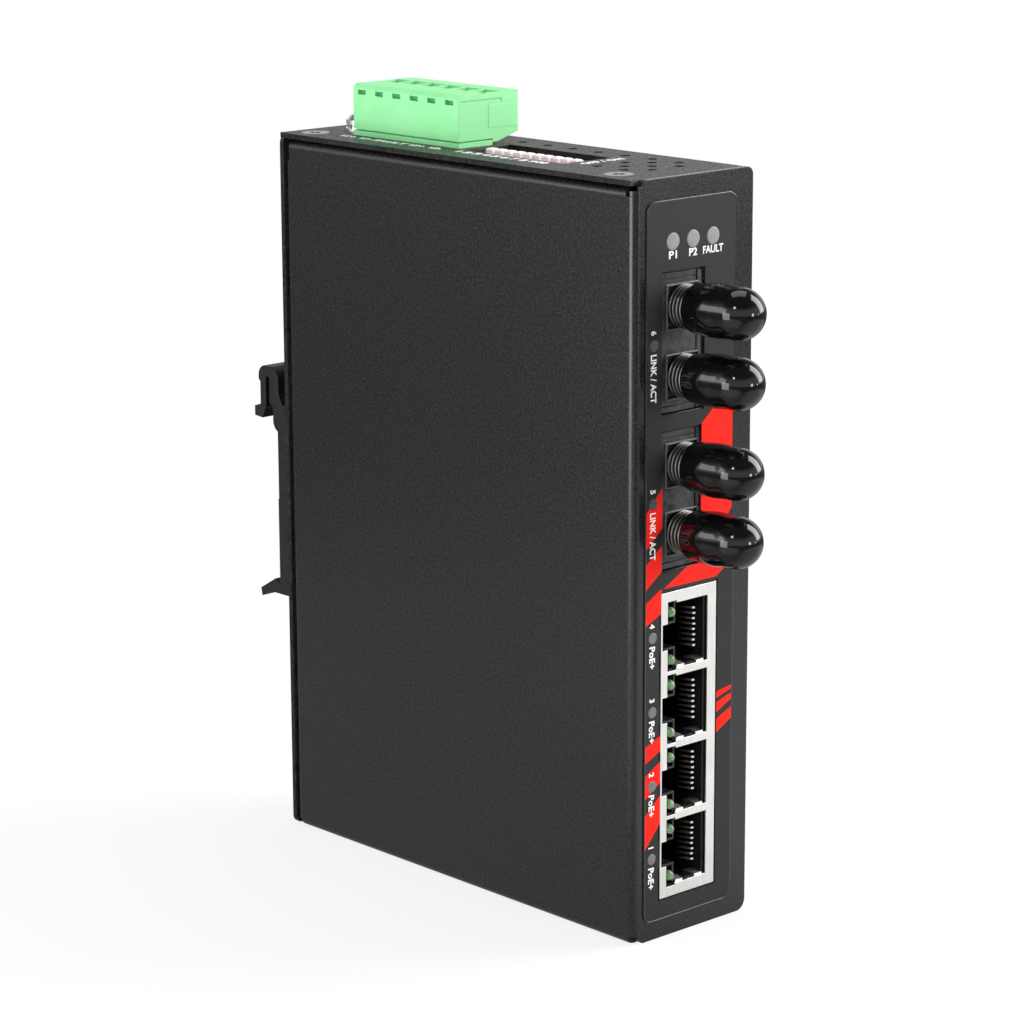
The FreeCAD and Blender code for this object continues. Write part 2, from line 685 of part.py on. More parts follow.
def jack_body():
    """Moulding with four sockets, latch channels and light recesses."""
    back = JACK_Y + JACK_DEPTH - CAN - CAN_FIT
    half = JACK_HALF - CAN - CAN_FIT
    top = BOARD_X + JACK_RISE - CAN - CAN_FIT
    block = box(BOARD_X, top, BODY_Y, back, JACK_Z - half, JACK_Z + half)
    tools = []
    for z in port_heights():
        stop = BODY_Y + SOCKET_DEPTH
        span = WINDOW / 2 - SOCKET_RIM
        tools.append(box(BOARD_X + SOCKET_LOW + SOCKET_RIM, BOARD_X + SOCKET_HIGH - SOCKET_CHEEK,
                         BODY_Y - CAN, stop, z - span, z + span))
        latch = LATCH_WINDOW / 2 - SOCKET_RIM
        tools.append(box(BOARD_X + LATCH_LOW + SOCKET_RIM, BOARD_X + SOCKET_LOW + 2 * SOCKET_RIM,
                         BODY_Y - CAN, stop, z - latch, z + latch))
        for side in (-1, 1):
            low, high, z0, z1 = light_pocket(z, side, 0)
            tools.append(box(low, high, BODY_Y - CAN, BODY_Y + LIGHT_DEPTH, z0, z1))
    return cut(block, tools)


def jack_lights():
    """Two lights a socket: a square back in its recess and a domed round nose."""
    lights = []
    front = JACK_Y - LIGHT_PROUD
    for z in port_heights():
        for side in (-1, 1):
            low, high, z0, z1 = light_pocket(z, side, CAN_FIT)
            nose = (high - low) / 2
            tip = Vec(low + nose, front + nose, (z0 + z1) / 2)
            shank = BODY_Y + 2 * nose
            body = box(low, high, shank, BODY_Y + LIGHT_DEPTH, z0, z1)
            barrel = rod(nose, tip, Y_AXIS, shank - front - nose)
            lights.append(join([body, barrel, Part.makeSphere(nose, tip)]))
    return lights


def jack_contacts():
    """Spring wires: along the socket's ceiling, round a bend at the front and back down."""
    contacts = []
    ceiling = SOCKET_HIGH - SOCKET_CHEEK
    high = ceiling - CONTACT / 3
    low = high - CONTACT
    stop = BODY_Y + SOCKET_DEPTH
    for z in port_heights():
        for i in range(CONTACTS):
            start = BODY_Y + CONTACT_FRONT + (i % 2) * CONTACT_STAGGER
            bend = CONTACT_BEND
            inside = start + bend + CONTACT / 2
            profile = [(stop, high), (start + bend, high), (start, high - bend),
                       (start + 0.4 * bend, high - 2 * bend),
                       (start + CONTACT_RUN, high - CONTACT_DROP),
                       (start + CONTACT_RUN + CONTACT / 3, high - CONTACT_DROP + CONTACT),
                       (inside, high - 1.7 * bend), (start + 0.9 * bend, high - 1.1 * bend),
                       (inside, low), (stop, low)]
            edge = z + (i - (CONTACTS - 1) / 2) * CONTACT_PITCH - CONTACT_WIDTH / 2
            points = [Vec(BOARD_X + rise, y, edge) for y, rise in profile]
            contacts.append(prism(points, Z_AXIS * CONTACT_WIDTH))
    return contacts


def receptacle_heights(z):
    """Middles of a module's two receptacles."""
    return [z + RECEPTACLE_PITCH / 2, z - RECEPTACLE_PITCH / 2]


def fibre_module(z):
    """Transceiver block with a rimmed square pocket round each receptacle and seam grooves on its face."""
    half = MODULE_SPAN / 2
    top = BOARD_X + MODULE_RISE
    pieces = [box(BOARD_X, top, MODULE_Y, MODULE_Y + MODULE_DEPTH, z - half, z + half)]
    front = MODULE_Y - GROOVE
    tools = []
    for middle in receptacle_heights(z):
        side = POCKET / 2
        rim = side + POCKET_RIM
        pieces.append(box(RECEPTACLE_X - rim, RECEPTACLE_X + rim, MODULE_Y - POCKET_LIP, MODULE_Y,
                          middle - rim, middle + rim))
        tools.append(box(RECEPTACLE_X - side, RECEPTACLE_X + side, front, MODULE_Y + POCKET_DEPTH,
                         middle - side, middle + side))
    seam = top - GROOVE_INSET
    tools.append(box(seam - GROOVE, seam, front, MODULE_Y + GROOVE, z - half, z + half))
    for side in (-1, 1):
        edge = z + side * (half - GROOVE_INSET)
        z0, z1 = sorted((edge, edge - side * GROOVE))
        tools.append(box(BOARD_X, seam, front, MODULE_Y + GROOVE, z0, z1))
    return cut(join(pieces), tools)


def fibre_sleeve(z):
    """Receptacle barrel with ridges next to the module and a fine bore."""
    pairs = [(-POCKET_DEPTH, BARREL_BORE), (-POCKET_DEPTH, SLEEVE_GROOVE)]
    for i in range(SLEEVE_RIDGES):
        start = SLEEVE_START + i * SLEEVE_PITCH
        pairs += [(start, SLEEVE_GROOVE), (start + SLEEVE_PITCH * 0.1, SLEEVE),
                  (start + SLEEVE_PITCH * 0.5, SLEEVE), (start + SLEEVE_PITCH * 0.6, SLEEVE_GROOVE)]
    last = SLEEVE_START + SLEEVE_RIDGES * SLEEVE_PITCH
    pairs += [(last, SLEEVE_GROOVE), (last, BARREL), (BARREL_LENGTH - 0.4, BARREL),
              (BARREL_LENGTH, BARREL - 0.4), (BARREL_LENGTH, BARREL_BORE), (-POCKET_DEPTH, BARREL_BORE)]
    solid = frontward(polyline(pairs))
    solid.translate(Vec(RECEPTACLE_X, MODULE_Y, z))
    return solid


def dust_cap(z, tilt):
    """Soft cap: a swelling skirt, a waist and a round end, hollow over the barrel."""
    stations = [(0, 0), (0.3, CAP_BELLY), (0.66, CAP_SHOULDER), (0.83, CAP_WAIST), (1, CAP_ROUND)]
    ends = [Vec(CAP_MOUTH + swell, -CAP_BODY * share, 0) for share, swell in stations]
    skirt = Part.Arc(ends[0], ends[1], ends[2])
    waist = Part.Arc(ends[2], ends[3], ends[4])
    dome = Part.Arc(Vec(CAP_DOME, -CAP_BODY, 0),
                    Vec(CAP_DOME * math.sqrt(0.5), -CAP_BODY - CAP_DOME * math.sqrt(0.5), 0),
                    Vec(0, -CAP_BODY - CAP_DOME, 0))
    rest = polyline([(CAP_BODY + CAP_DOME, 0), (CAP_HOLLOW, 0), (CAP_HOLLOW, CAP_BORE), (0, CAP_BORE),
                     (0, CAP_MOUTH)])
    solid = frontward([skirt.toShape(), waist.toShape(), dome.toShape()] + rest)
    solid.rotate(Vec(0, 0, 0), X_AXIS, -tilt)
    solid.translate(Vec(RECEPTACLE_X, MODULE_Y - CAP_START, z))
    return solid


def module_pin_places():
    """Depths and heights of the fibre modules' leads."""
    y = MODULE_Y + MODULE_DEPTH - 3.0
    return [(y, z + (i - (MODULE_PINS - 1) / 2) * LEAD_PITCH) for z in MODULE_Z for i in range(MODULE_PINS)]


def module_pins():
    """One row of leads under each module, through the board."""
    half = LEAD / 2
    return [box(BOARD_BACK - LEAD_BEYOND, BOARD_X, y - half, y + half, z - half, z + half)
            for y, z in module_pin_places()]


def angled_lead(x, y, top, leg, size):
    """Lead that drops from a height and turns to the board at a leg's height."""
    half = size / 2
    drop = box(x - half, x + half, y - half, y + half, leg - half, top)
    run = box(BOARD_BACK - LEAD_BEYOND, x + half, y - half, y + half, leg - half, leg + half)
    return join([drop, run])


def dip_rows():
    """Depths of the switch poles, front to back."""
    return [DIP_Y + (i - (DIP_POLES - 1) / 2) * LEAD_PITCH for i in range(DIP_POLES)]


def dip_limits():
    """Cut-out over the switch row as x and y limits."""
    half = DIP_HALF + DIP_CUT_END
    return (DIP_X - DIP_WIDTH / 2 - DIP_CUT_LEFT, DIP_X + DIP_WIDTH / 2 + DIP_CUT_RIGHT,
            DIP_Y - half, DIP_Y + half)


def dip_body():
    """Switch body with a slot and a wider room below it for each slider, on two feet to the board."""
    x0 = DIP_X - DIP_WIDTH / 2
    x1 = DIP_X + DIP_WIDTH / 2
    block = box(x0, x1, DIP_Y - DIP_HALF, DIP_Y + DIP_HALF, DIP_LOW, DIP_TOP)
    foot_top = TOP - BOARD_HIGH
    pieces = [block]
    for y0 in (DIP_Y - DIP_HALF, DIP_Y + DIP_HALF - DIP_END - SLIDER):
        pieces.append(box(BOARD_X, x0, y0, y0 + DIP_END + SLIDER, DIP_LOW, foot_top))
    slot = (DIP_TRAVEL + SLIDER) / 2 + SLIDER_GAP
    room = (DIP_TRAVEL + SLIDER_FOOT) / 2 + SLIDER_GAP
    ledge = DIP_TOP - DIP_CEILING
    floor = ledge - FOOT_HEIGHT - 2 * SLIDER_GAP
    tools = []
    for y in dip_rows():
        half = SLIDER / 2 + SLIDER_GAP
        tools.append(box(DIP_X - slot, DIP_X + slot, y - half, y + half, ledge - SLIDER_GAP, TOP))
        half = SLIDER_FOOT / 2 + SLIDER_GAP
        tools.append(box(DIP_X - room, DIP_X + room, y - half, y + half, floor, ledge))
    return cut(join(pieces), tools)


def dip_slider(y):
    """Slider at its left-hand end: a post on a wider foot, its top edges broken."""
    x = DIP_X - DIP_TRAVEL / 2
    ledge = DIP_TOP - DIP_CEILING
    half = SLIDER_FOOT / 2
    foot = box(x - half, x + half, y - half, y + half, ledge - SLIDER_GAP - FOOT_HEIGHT, ledge - SLIDER_GAP)
    half = SLIDER / 2
    top = TOP + SLIDER_RISE
    post = box(x - half, x + half, y - half, y + half, ledge - SLIDER, top)
    crown = [edge for edge in post.Edges if edge.BoundBox.ZMin > top - SLIDER / 2]
    return join([foot, post.makeChamfer(SLIDER / 8, crown)])


def dip_pins():
    """Two leads a pole, turned to the board one above the other."""
    pins = []
    for y in dip_rows():
        pins.append(angled_lead(DIP_X - DIP_LEG_SPREAD, y, DIP_LOW, DIP_LOW - DIP_LEG_NEAR, LEAD))
        pins.append(angled_lead(DIP_X + DIP_LEG_SPREAD, y, DIP_LOW, DIP_LOW - DIP_LEG_FAR, LEAD))
    return pins


def pole_rows():
    """Depths of the terminal poles, front to back."""
    return [TERM_Y + (i - (POLES - 1) / 2) * POLE_PITCH for i in range(POLES)]


def header_leg_height():
    """Height at which the terminal pins run to the board."""
    return HEADER_LOW - HEADER_PIN_DROP


def header_limits():
    """Cut-out round the terminal shroud as x and y limits."""
    half = HEADER_HALF + CUT_GAP
    return (HEADER_X0 - CUT_GAP, HEADER_X1 + CUT_GAP, TERM_Y - half, TERM_Y + half)


def terminal_header():
    """Open shroud on two feet, its floor holding the pins."""
    outer = box(HEADER_X0, HEADER_X1, TERM_Y - HEADER_HALF, TERM_Y + HEADER_HALF, HEADER_LOW, HEADER_TOP)
    foot_top = TOP - BOARD_HIGH
    pieces = [outer]
    for y0 in (TERM_Y - HEADER_HALF, TERM_Y + HEADER_HALF - 3.0):
        pieces.append(box(BOARD_X, HEADER_X0, y0, y0 + 3.0, HEADER_LOW, foot_top))
    half = HEADER_HALF - HEADER_WALL
    tools = [box(HEADER_X0 + HEADER_WALL, HEADER_X1 - HEADER_WALL, TERM_Y - half, TERM_Y + half,
                 HEADER_LOW + HEADER_FLOOR, HEADER_TOP + HEADER_WALL)]
    side = HEADER_PIN / 2 + PIN_FIT
    for y in pole_rows():
        tools.append(box(HEADER_PIN_X - side, HEADER_PIN_X + side, y - side, y + side,
                         HEADER_LOW - HEADER_FLOOR, HEADER_LOW + 2 * HEADER_FLOOR))
    return cut(join(pieces), tools)


def header_pins():
    """Square pins, up inside the shroud and back to the board below it."""
    top = HEADER_LOW + HEADER_FLOOR + HEADER_PIN_RISE
    return [angled_lead(HEADER_PIN_X, y, top, header_leg_height(), HEADER_PIN) for y in pole_rows()]


def wire_well(y, low, high):
    """Square shaft round a clamp cage."""
    half = CAGE / 2 + PLUG_FIT
    return box(CAGE_X - half, CAGE_X + half, y - half, y + half, low, high)


def funnel(y):
    """Tapered wire entry at the top of the plug."""
    outlines = []
    for half, z in ((CAGE / 2, PLUG_Z1 - FUNNEL_DEPTH), (FUNNEL / 2, PLUG_Z1 + 0.01)):
        corners = ((-half, -half), (half, -half), (half, half), (-half, half), (-half, -half))
        outlines.append(Part.makePolygon([Vec(CAGE_X + dx, y + dy, z) for dx, dy in corners]))
    return Part.makeLoft(outlines, True, True)


def clamp_low():
    """Underside of the clamp cages."""
    return PLUG_REST + 2 * TINE + CAN_FIT


def terminal_plug():
    """Plug: body over the shroud, tongue inside it, wire entries, screw holes and probe slots."""
    x0 = HEADER_X0
    inner = HEADER_X1 + PLUG_GAP
    under = TOP + PLUG_UNDER
    outline = [(x0, PLUG_REST), (inner, PLUG_REST), (inner, under), (inner + 1.3, under),
               (PLUG_X1, TOP + PLUG_RIGHT), (PLUG_X1, PLUG_Z1), (x0 + PLUG_BEVEL, PLUG_Z1),
               (x0, PLUG_Z1 - PLUG_BEVEL)]
    y0 = TERM_Y - PLUG_HALF
    upper = prism([Vec(x, y0, z) for x, z in outline], Y_AXIS * (2 * PLUG_HALF))
    gap = HEADER_WALL + PLUG_FIT
    half = HEADER_HALF - gap
    low = HEADER_LOW + HEADER_FLOOR + PLUG_GAP
    tongue = box(HEADER_X0 + gap, HEADER_X1 - gap, TERM_Y - half, TERM_Y + half, low, PLUG_REST)
    pads = []
    for side in (-1, 1):
        face = TERM_Y + side * PLUG_HALF
        a, b = sorted((face, face + side * PLUG_PAD))
        pads.append(box(x0 + PLUG_WIDTH / 2, PLUG_X1 - PLUG_BEVEL / 2, a, b, TOP + 3 * PLUG_RIGHT / 2,
                        PLUG_Z1 - 3 * PLUG_BEVEL))
    tools = lid_lines(x0)
    screw_z = clamp_low() + CAGE_HEIGHT / 2
    for y in pole_rows():
        tools += plug_pole_room(y, low, screw_z)
    return cut(join([upper, tongue] + pads), tools)


def lid_lines(x0):
    """Fine grooves on both ends of the plug, along its lid and a short way down."""
    high = PLUG_Z1 - PLUG_LINE_DROP
    stop = x0 + PLUG_WIDTH * PLUG_LINE_SHARE
    grooves = []
    for side in (-1, 1):
        face = TERM_Y + side * PLUG_HALF
        a, b = sorted((face - side * PLUG_LINE, face + side * PLUG_LINE))
        grooves.append(box(x0 + PLUG_BEVEL, stop, a, b, high - PLUG_LINE, high))
        grooves.append(box(stop - PLUG_LINE, stop, a, b, high - PLUG_LINE_HOOK, high))
    return grooves


def plug_pole_room(y, low, screw_z):
    """Everything cut out of the plug for one pole."""
    bore = TINE_BORE / 2
    well = clamp_low() - CAN_FIT
    cage = CAGE_X + CAGE / 2
    slot_z = PLUG_Z1 - PLUG_SLOT_DROP
    slot = PLUG_SLOT / 2
    return [
        box(HEADER_PIN_X - bore, HEADER_PIN_X + bore, y - bore, y + bore, low - TINE, PLUG_REST),
        box(HEADER_PIN_X - bore, cage - TINE, y - bore, y + bore, PLUG_REST - TINE, well),
        wire_well(y, well, PLUG_Z1 - FUNNEL_DEPTH / 2),
        funnel(y),
        rod(CLAMP_HEAD + PLUG_FIT, Vec(PLUG_X1 + TINE, y, screw_z), -X_AXIS,
            TINE + CLAMP_HEAD_LENGTH + PLUG_FIT),
        rod(CLAMP_SHANK + PLUG_FIT, Vec(PLUG_X1, y, screw_z), -X_AXIS, PLUG_X1 - cage),
        box(HEADER_X0 - TINE, HEADER_X0 + PLUG_SLOT_DEPTH, y - slot, y + slot,
            slot_z - PLUG_SLOT_HEIGHT / 2, slot_z + PLUG_SLOT_HEIGHT / 2),
    ]


def plug_contacts():
    """Forked strips that grip the pins and lead to the clamp cages."""
    contacts = []
    half = TINE_BORE / 2 - PLUG_FIT
    low = HEADER_LOW + HEADER_FLOOR + 2 * PLUG_GAP + TINE
    high = clamp_low() - CAN_FIT
    for y in pole_rows():
        leaves = [box(HEADER_PIN_X + a, HEADER_PIN_X + b, y - half, y + half, low, high)
                  for a, b in ((-half, TINE - half), (half - TINE, half))]
        stop = CAGE_X + CAGE / 2 - 2 * TINE
        strip = box(HEADER_PIN_X - half, stop, y - half, y + half, high - TINE, high)
        contacts.append(join(leaves + [strip]))
    return contacts


def clamp_cages():
    """Square rings that the screws pull against the strips."""
    cages = []
    half = CAGE / 2
    hollow = CAGE_HOLLOW / 2
    low = clamp_low()
    for y in pole_rows():
        ring = box(CAGE_X - half, CAGE_X + half, y - half, y + half, low, low + CAGE_HEIGHT)
        through = box(CAGE_X - hollow, CAGE_X + hollow, y - hollow, y + hollow,
                      low - TINE, low + CAGE_HEIGHT + TINE)
        thread = rod(CLAMP_SHANK + THREAD_FIT, Vec(CAGE_X, y, low + CAGE_HEIGHT / 2), X_AXIS, CAGE)
        cages.append(cut(ring, [through, thread]))
    return cages


def clamp_screws():
    """Slotted screws through the plug's right side into the cages."""
    screws = []
    z = clamp_low() + CAGE_HEIGHT / 2
    for y in pole_rows():
        length = PLUG_X1 - CLAMP_HEAD_LENGTH - CAGE_X - CAGE_HOLLOW / 2 + TINE
        head = rod(CLAMP_HEAD, Vec(PLUG_X1, y, z), -X_AXIS, CLAMP_HEAD_LENGTH)
        shank = rod(CLAMP_SHANK, Vec(PLUG_X1 - CLAMP_HEAD_LENGTH, y, z), -X_AXIS, length)
        slot = box(PLUG_X1 - CROSS_DEPTH, PLUG_X1 + TINE, y - CLAMP_HEAD, y + CLAMP_HEAD,
                   z - CROSS_WIDTH / 2, z + CROSS_WIDTH / 2)
        screws.append(join([head, shank]).cut(slot))
    return screws


def washer(radius, hole, sheet, low):
    """Flat ring on the earth point's axis."""
    centre = Vec(GROUND_X, GROUND_Y, low)
    return rod(radius, centre, Z_AXIS, sheet).cut(rod(hole, centre, Z_AXIS, sheet))


def lock_washer():
    """Split spring ring under the earth screw's head."""
    low = TOP + WASHER_SHEET
    ring = washer(GROUND_HEAD - 0.2, M4 + 2 * THREAD_FIT, LOCK_SHEET, low)
    slit = LOCK_SHEET / 2
    split = box(GROUND_X - GROUND_HEAD, GROUND_X, GROUND_Y - slit, GROUND_Y + slit, low, low + LOCK_SHEET)
    return ring.cut(split)


def ground_screw():
    """Earth screw, its head over both washers."""
    head = Vec(GROUND_X, GROUND_Y, TOP + WASHER_SHEET + LOCK_SHEET)
    return aim(pan_screw(GROUND_HEAD, GROUND_RISE, M4, GROUND_SCREW), head, -Z_AXIS)


def status_light_holder():
    """Black block that keeps three round lights in line behind the front wall."""
    y0 = FRONT + SHEET + SEAM
    half = HOLDER_HEIGHT / 2
    block = box(BOARD_X, BOARD_X + HOLDER_RISE, y0, y0 + HOLDER_DEPTH, STATUS_Z - half, STATUS_Z + half)
    tools = [rod(STATUS_LIGHT + PIN_FIT, Vec(STATUS_X + i * STATUS_STEP, y0 - SEAM, STATUS_Z), Y_AXIS,
                 HOLDER_BORE + SEAM) for i in range(3)]
    return cut(block, tools)


def status_lights():
    """Round lights with domed fronts just behind the film."""
    lights = []
    stop = FRONT + SHEET + SEAM + HOLDER_BORE
    tip = FRONT + SHEET / 10 + STATUS_LIGHT
    for i in range(3):
        centre = Vec(STATUS_X + i * STATUS_STEP, tip, STATUS_Z)
        dome = Part.makeSphere(STATUS_LIGHT, centre)
        lights.append(join([dome, rod(STATUS_LIGHT, centre, Y_AXIS, stop - tip)]))
    return lights


def port_lights():
    """Small side-looking lights on the board's left face."""
    half = PORT_LIGHT_SPAN / 2
    stop = BOARD_Y0 + PORT_LIGHT_LENGTH
    return [box(BOARD_BACK - PORT_LIGHT, BOARD_BACK, BOARD_Y0, stop, z - half, z + half)
            for z in port_light_heights()]


def din_clip():
    """One moulding: plate on the back wall, sprung upper hook, fixed lower hook, screw holes."""
    low = CLIP_LOW
    seat = low + RAIL_DROP
    edge = seat + RAIL
    plate = CLIP_PLATE

    def at(reach, z):
        return Vec(-CLIP_WIDTH / 2, BACK + reach, z)

    near = plate + SLOT_REACH
    far = near + SLOT
    leg = far + LEG
    tip = plate + HOOK_REACH
    toe = plate + TOE_REACH
    thick = plate + CLIP_STEP
    slot_top = edge + SLOT_RISE
    crown = edge + CROWN_RISE
    lower = [at(0, low), at(toe * 0.76, low), at(toe - TOE_DROP * 0.3, low - TOE_DROP),
             at(toe, low + CLIP_STEP), at(thick + 1.5, seat + 0.9), at(thick + 0.35, seat), at(thick, seat + 1.5),
             at(thick, CLIP_MIDDLE + CLIP_STEP), at(plate, CLIP_MIDDLE + 2 * CLIP_STEP), at(plate, edge - 3.3)]
    bump = [at(plate + 1.4, edge - 0.8), at(plate + 1.4, edge + 1.5), at(near, edge + 2.2)]
    before = bump + [at(near, slot_top)]
    hook = [at(far, slot_top), at(far, edge + 1.3), at(far + 0.3, edge + 0.9),
            at(far + 1.2, edge - 1.1), at(tip, edge - 0.9), at(tip, edge + 1.1),
            at(leg, edge + 1.7), at(leg, slot_top - 0.8), at(leg + 0.5, slot_top - 0.3),
            at(leg + 0.5, slot_top + 0.5)]
    root = [at(plate - 0.4, slot_top - 0.2), at(plate - 0.4, edge + 4.6), at(plate - 1.5, edge + 2.3),
            at(0, edge + 2.3)]
    shoulders = [at(leg - 1.1, crown), at(near - 0.65, crown)]
    edges = [Part.LineSegment(a, b).toShape() for a, b in zip(lower, lower[1:])]
    edges.append(Part.Arc(lower[-1], at(plate + 1.1, edge - 2.3), bump[0]).toShape())
    edges += [Part.LineSegment(a, b).toShape() for a, b in zip(before, before[1:])]
    edges.append(Part.Arc(before[-1], at((near + far) / 2, slot_top + SLOT / 2), hook[0]).toShape())
    edges += [Part.LineSegment(a, b).toShape() for a, b in zip(hook, hook[1:])]
    edges.append(Part.Arc(hook[-1], at(leg, crown - CROWN_BEND), shoulders[0]).toShape())
    edges.append(Part.LineSegment(shoulders[0], shoulders[1]).toShape())
    edges.append(Part.Arc(shoulders[1], at(plate + 0.2, crown - CROWN_BEND - CLIP_STEP), root[0]).toShape())
    edges += [Part.LineSegment(a, b).toShape() for a, b in zip(root, root[1:] + [lower[0]])]
    body = Part.Face(Part.Wire(edges)).extrude(X_AXIS * CLIP_WIDTH)
    tools = [aim(countersunk_hole(CLIP_SCREW), Vec(0, BACK + plate, z), -Y_AXIS)
             for z in (CLIP_HOLE_LOW, CLIP_HOLE_HIGH)]
    return cut(body, tools)


def din_clip_screws():
    """Countersunk screws through the clip's plate into the back wall."""
    return [aim(countersunk(CLIP_SCREW), Vec(0, BACK + CLIP_PLATE, z), -Y_AXIS)
            for z in (CLIP_HOLE_LOW, CLIP_HOLE_HIGH)]


def on_board(y, z, span_y, span_z, low, high):
    """Block on the board, centred in depth and height, between two rises over the board."""
    half_y = span_y / 2
    half_z = span_z / 2
    return box(BOARD_X + low, BOARD_X + high, y - half_y, y + half_y, z - half_z, z + half_z)


def heat_sink(y, z):
    """Finned block over the switching chip."""
    low = CHIP_RISE + PAD_RISE
    pieces = [on_board(y, z, SINK, SINK, low, low + SINK_BASE)]
    step = (SINK - SINK_FIN) / (SINK_FINS - 1)
    for i in range(SINK_FINS):
        place = y - (SINK - SINK_FIN) / 2 + i * step
        pieces.append(on_board(place, z, SINK_FIN, SINK, low + SINK_BASE, low + SINK_RISE))
    return join(pieces)


def transformer_row():
    """Depth of the transformers' middles, behind the screw beside the jack."""
    return JACK_Y + JACK_DEPTH + 2 * PAN_HEAD + PART_GAP / 2 + TRANSFORMER_DEEP / 2


def chip_row():
    """Depth of the switching chip's middle."""
    return transformer_row() + TRANSFORMER_DEEP / 2 + PART_GAP + SINK / 2


def line_transformers():
    """One isolating block behind each copper socket."""
    return [on_board(transformer_row(), z, TRANSFORMER_DEEP, TRANSFORMER_TALL, 0, TRANSFORMER_RISE)
            for z in port_heights()]


def storage_capacitors():
    """Upright cans with a rolled neck, in a column near the back."""
    cans = []
    y = BOARD_Y1 - CAPACITOR - 2 * PART_GAP
    neck = CAPACITOR_RISE / 9
    for i in range(CAPACITORS):
        z = JACK_Z + SINK + i * (2 * CAPACITOR + PART_GAP)
        start = Vec(BOARD_X, y, z)
        bead = start + X_AXIS * (neck + 2 * CAPACITOR_NECK)
        rest = CAPACITOR_RISE - neck - 2 * CAPACITOR_NECK
        cans.append(join([rod(CAPACITOR, start, X_AXIS, neck),
                          rod(CAPACITOR - CAPACITOR_NECK, start, X_AXIS, CAPACITOR_RISE / 2),
                          rod(CAPACITOR, bead, X_AXIS, rest)]))
    return cans


def power_inductors():
    """Shielded coils with clipped corners, in a column over the heat sink."""
    coils = []
    long = INDUCTOR / 2
    short = INDUCTOR / 3
    outline = [(-long, -short), (-short, -long), (short, -long), (long, -short),
               (long, short), (short, long), (-short, long), (-long, short)]
    for i in range(INDUCTORS):
        z = JACK_Z + (SINK + INDUCTOR) / 2 + 2 * PART_GAP + i * (INDUCTOR + PART_GAP)
        corners = [Vec(BOARD_X, chip_row() + a, z + b) for a, b in outline]
        coils.append(prism(corners, X_AXIS * INDUCTOR_RISE))
    return coils


def fault_relay():
    """Alarm relay under the terminal shroud's front end."""
    top = header_leg_height() - PART_GAP
    return on_board(TERM_Y - RELAY_DEEP, top - RELAY_TALL / 2, RELAY_DEEP, RELAY_TALL, 0, RELAY_RISE)


def input_fuses():
    """Two surface fuses beside the relay."""
    top = header_leg_height() - PART_GAP
    steps = (FUSE_TALL / 2, FUSE_TALL * 1.5 + PART_GAP / 2)
    return [on_board(TERM_Y + FUSE_DEEP, top - step, FUSE_DEEP, FUSE_TALL, 0, FUSE_RISE) for step in steps]


def clock_crystal():
    """Metal-cased crystal behind the heat sink."""
    y = chip_row() + SINK / 2 + PART_GAP + CRYSTAL_DEEP / 2
    return on_board(y, JACK_Z, CRYSTAL_DEEP, CRYSTAL_TALL, 0, CRYSTAL_RISE)


def poe_controller():
    """Power controller under the heat sink."""
    z = JACK_Z - SINK / 2 - PART_GAP - CONTROLLER / 2
    return on_board(chip_row(), z, CONTROLLER, CONTROLLER, 0, CONTROLLER_RISE)


def nodes():
    """Every node's name with its solid or its list of like solids."""
    chip_y = chip_row()
    chip_z = JACK_Z
    pieces = {
        "front_shell": front_shell(),
        "rear_shell": rear_shell(),
        "shell_screws": shell_screws(),
        "front_overlay": front_overlay(),
        "main_board": main_board(),
        "board_standoffs": board_standoffs(),
        "board_screws": board_screws(),
        "jack_shield": jack_shield(),
        "jack_body": jack_body(),
        "jack_contacts": jack_contacts(),
        "jack_lights": jack_lights(),
        "fibre_module_upper": fibre_module(MODULE_Z[0]),
        "fibre_module_lower": fibre_module(MODULE_Z[1]),
        "module_pins": module_pins(),
        "terminal_header": terminal_header(),
        "header_pins": header_pins(),
        "terminal_plug": terminal_plug(),
        "plug_contacts": plug_contacts(),
        "clamp_cages": clamp_cages(),
        "clamp_screws": clamp_screws(),
        "dip_body": dip_body(),
        "dip_pins": dip_pins(),
        "ground_washer": washer(WASHER, M4 + 2 * THREAD_FIT, WASHER_SHEET, TOP),
        "lock_washer": lock_washer(),
        "ground_screw": ground_screw(),
        "status_light_holder": status_light_holder(),
        "status_lights": status_lights(),
        "port_lights": port_lights(),
        "din_clip": din_clip(),
        "din_clip_screws": din_clip_screws(),
        "switch_chip": on_board(chip_y, chip_z, CHIP, CHIP, 0, CHIP_RISE),
        "thermal_pad": on_board(chip_y, chip_z, CHIP - 2, CHIP - 2, CHIP_RISE, CHIP_RISE + PAD_RISE),
        "heat_sink": heat_sink(chip_y, chip_z),
        "clock_crystal": clock_crystal(),
        "line_transformers": line_transformers(),
        "poe_controller": poe_controller(),
        "storage_capacitors": storage_capacitors(),
        "power_inductors": power_inductors(),
        "fault_relay": fault_relay(),
        "input_fuses": input_fuses(),
    }
    middles = [middle for z in MODULE_Z for middle in receptacle_heights(z)]
    for i, middle in enumerate(middles):
        pieces["fibre_sleeve_%d" % (i + 1)] = fibre_sleeve(middle)
        pieces["dust_cap_%d" % (i + 1)] = dust_cap(middle, CAP_TILTS[i])
    for i, y in enumerate(dip_rows()):
        pieces["dip_slider_%d" % (i + 1)] = dip_slider(y)
    return pieces


for name, shape in nodes().items():
    if isinstance(shape, list):
        shape = Part.makeCompound(shape)
    shape.exportStep("parts/%s.step" % name)
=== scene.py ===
"""A rail-mounted network switch with fibre and copper ports, dressed for a plain studio picture."""
import math

import bmesh
import bpy
import numpy as np
from mathutils import Matrix, Vector


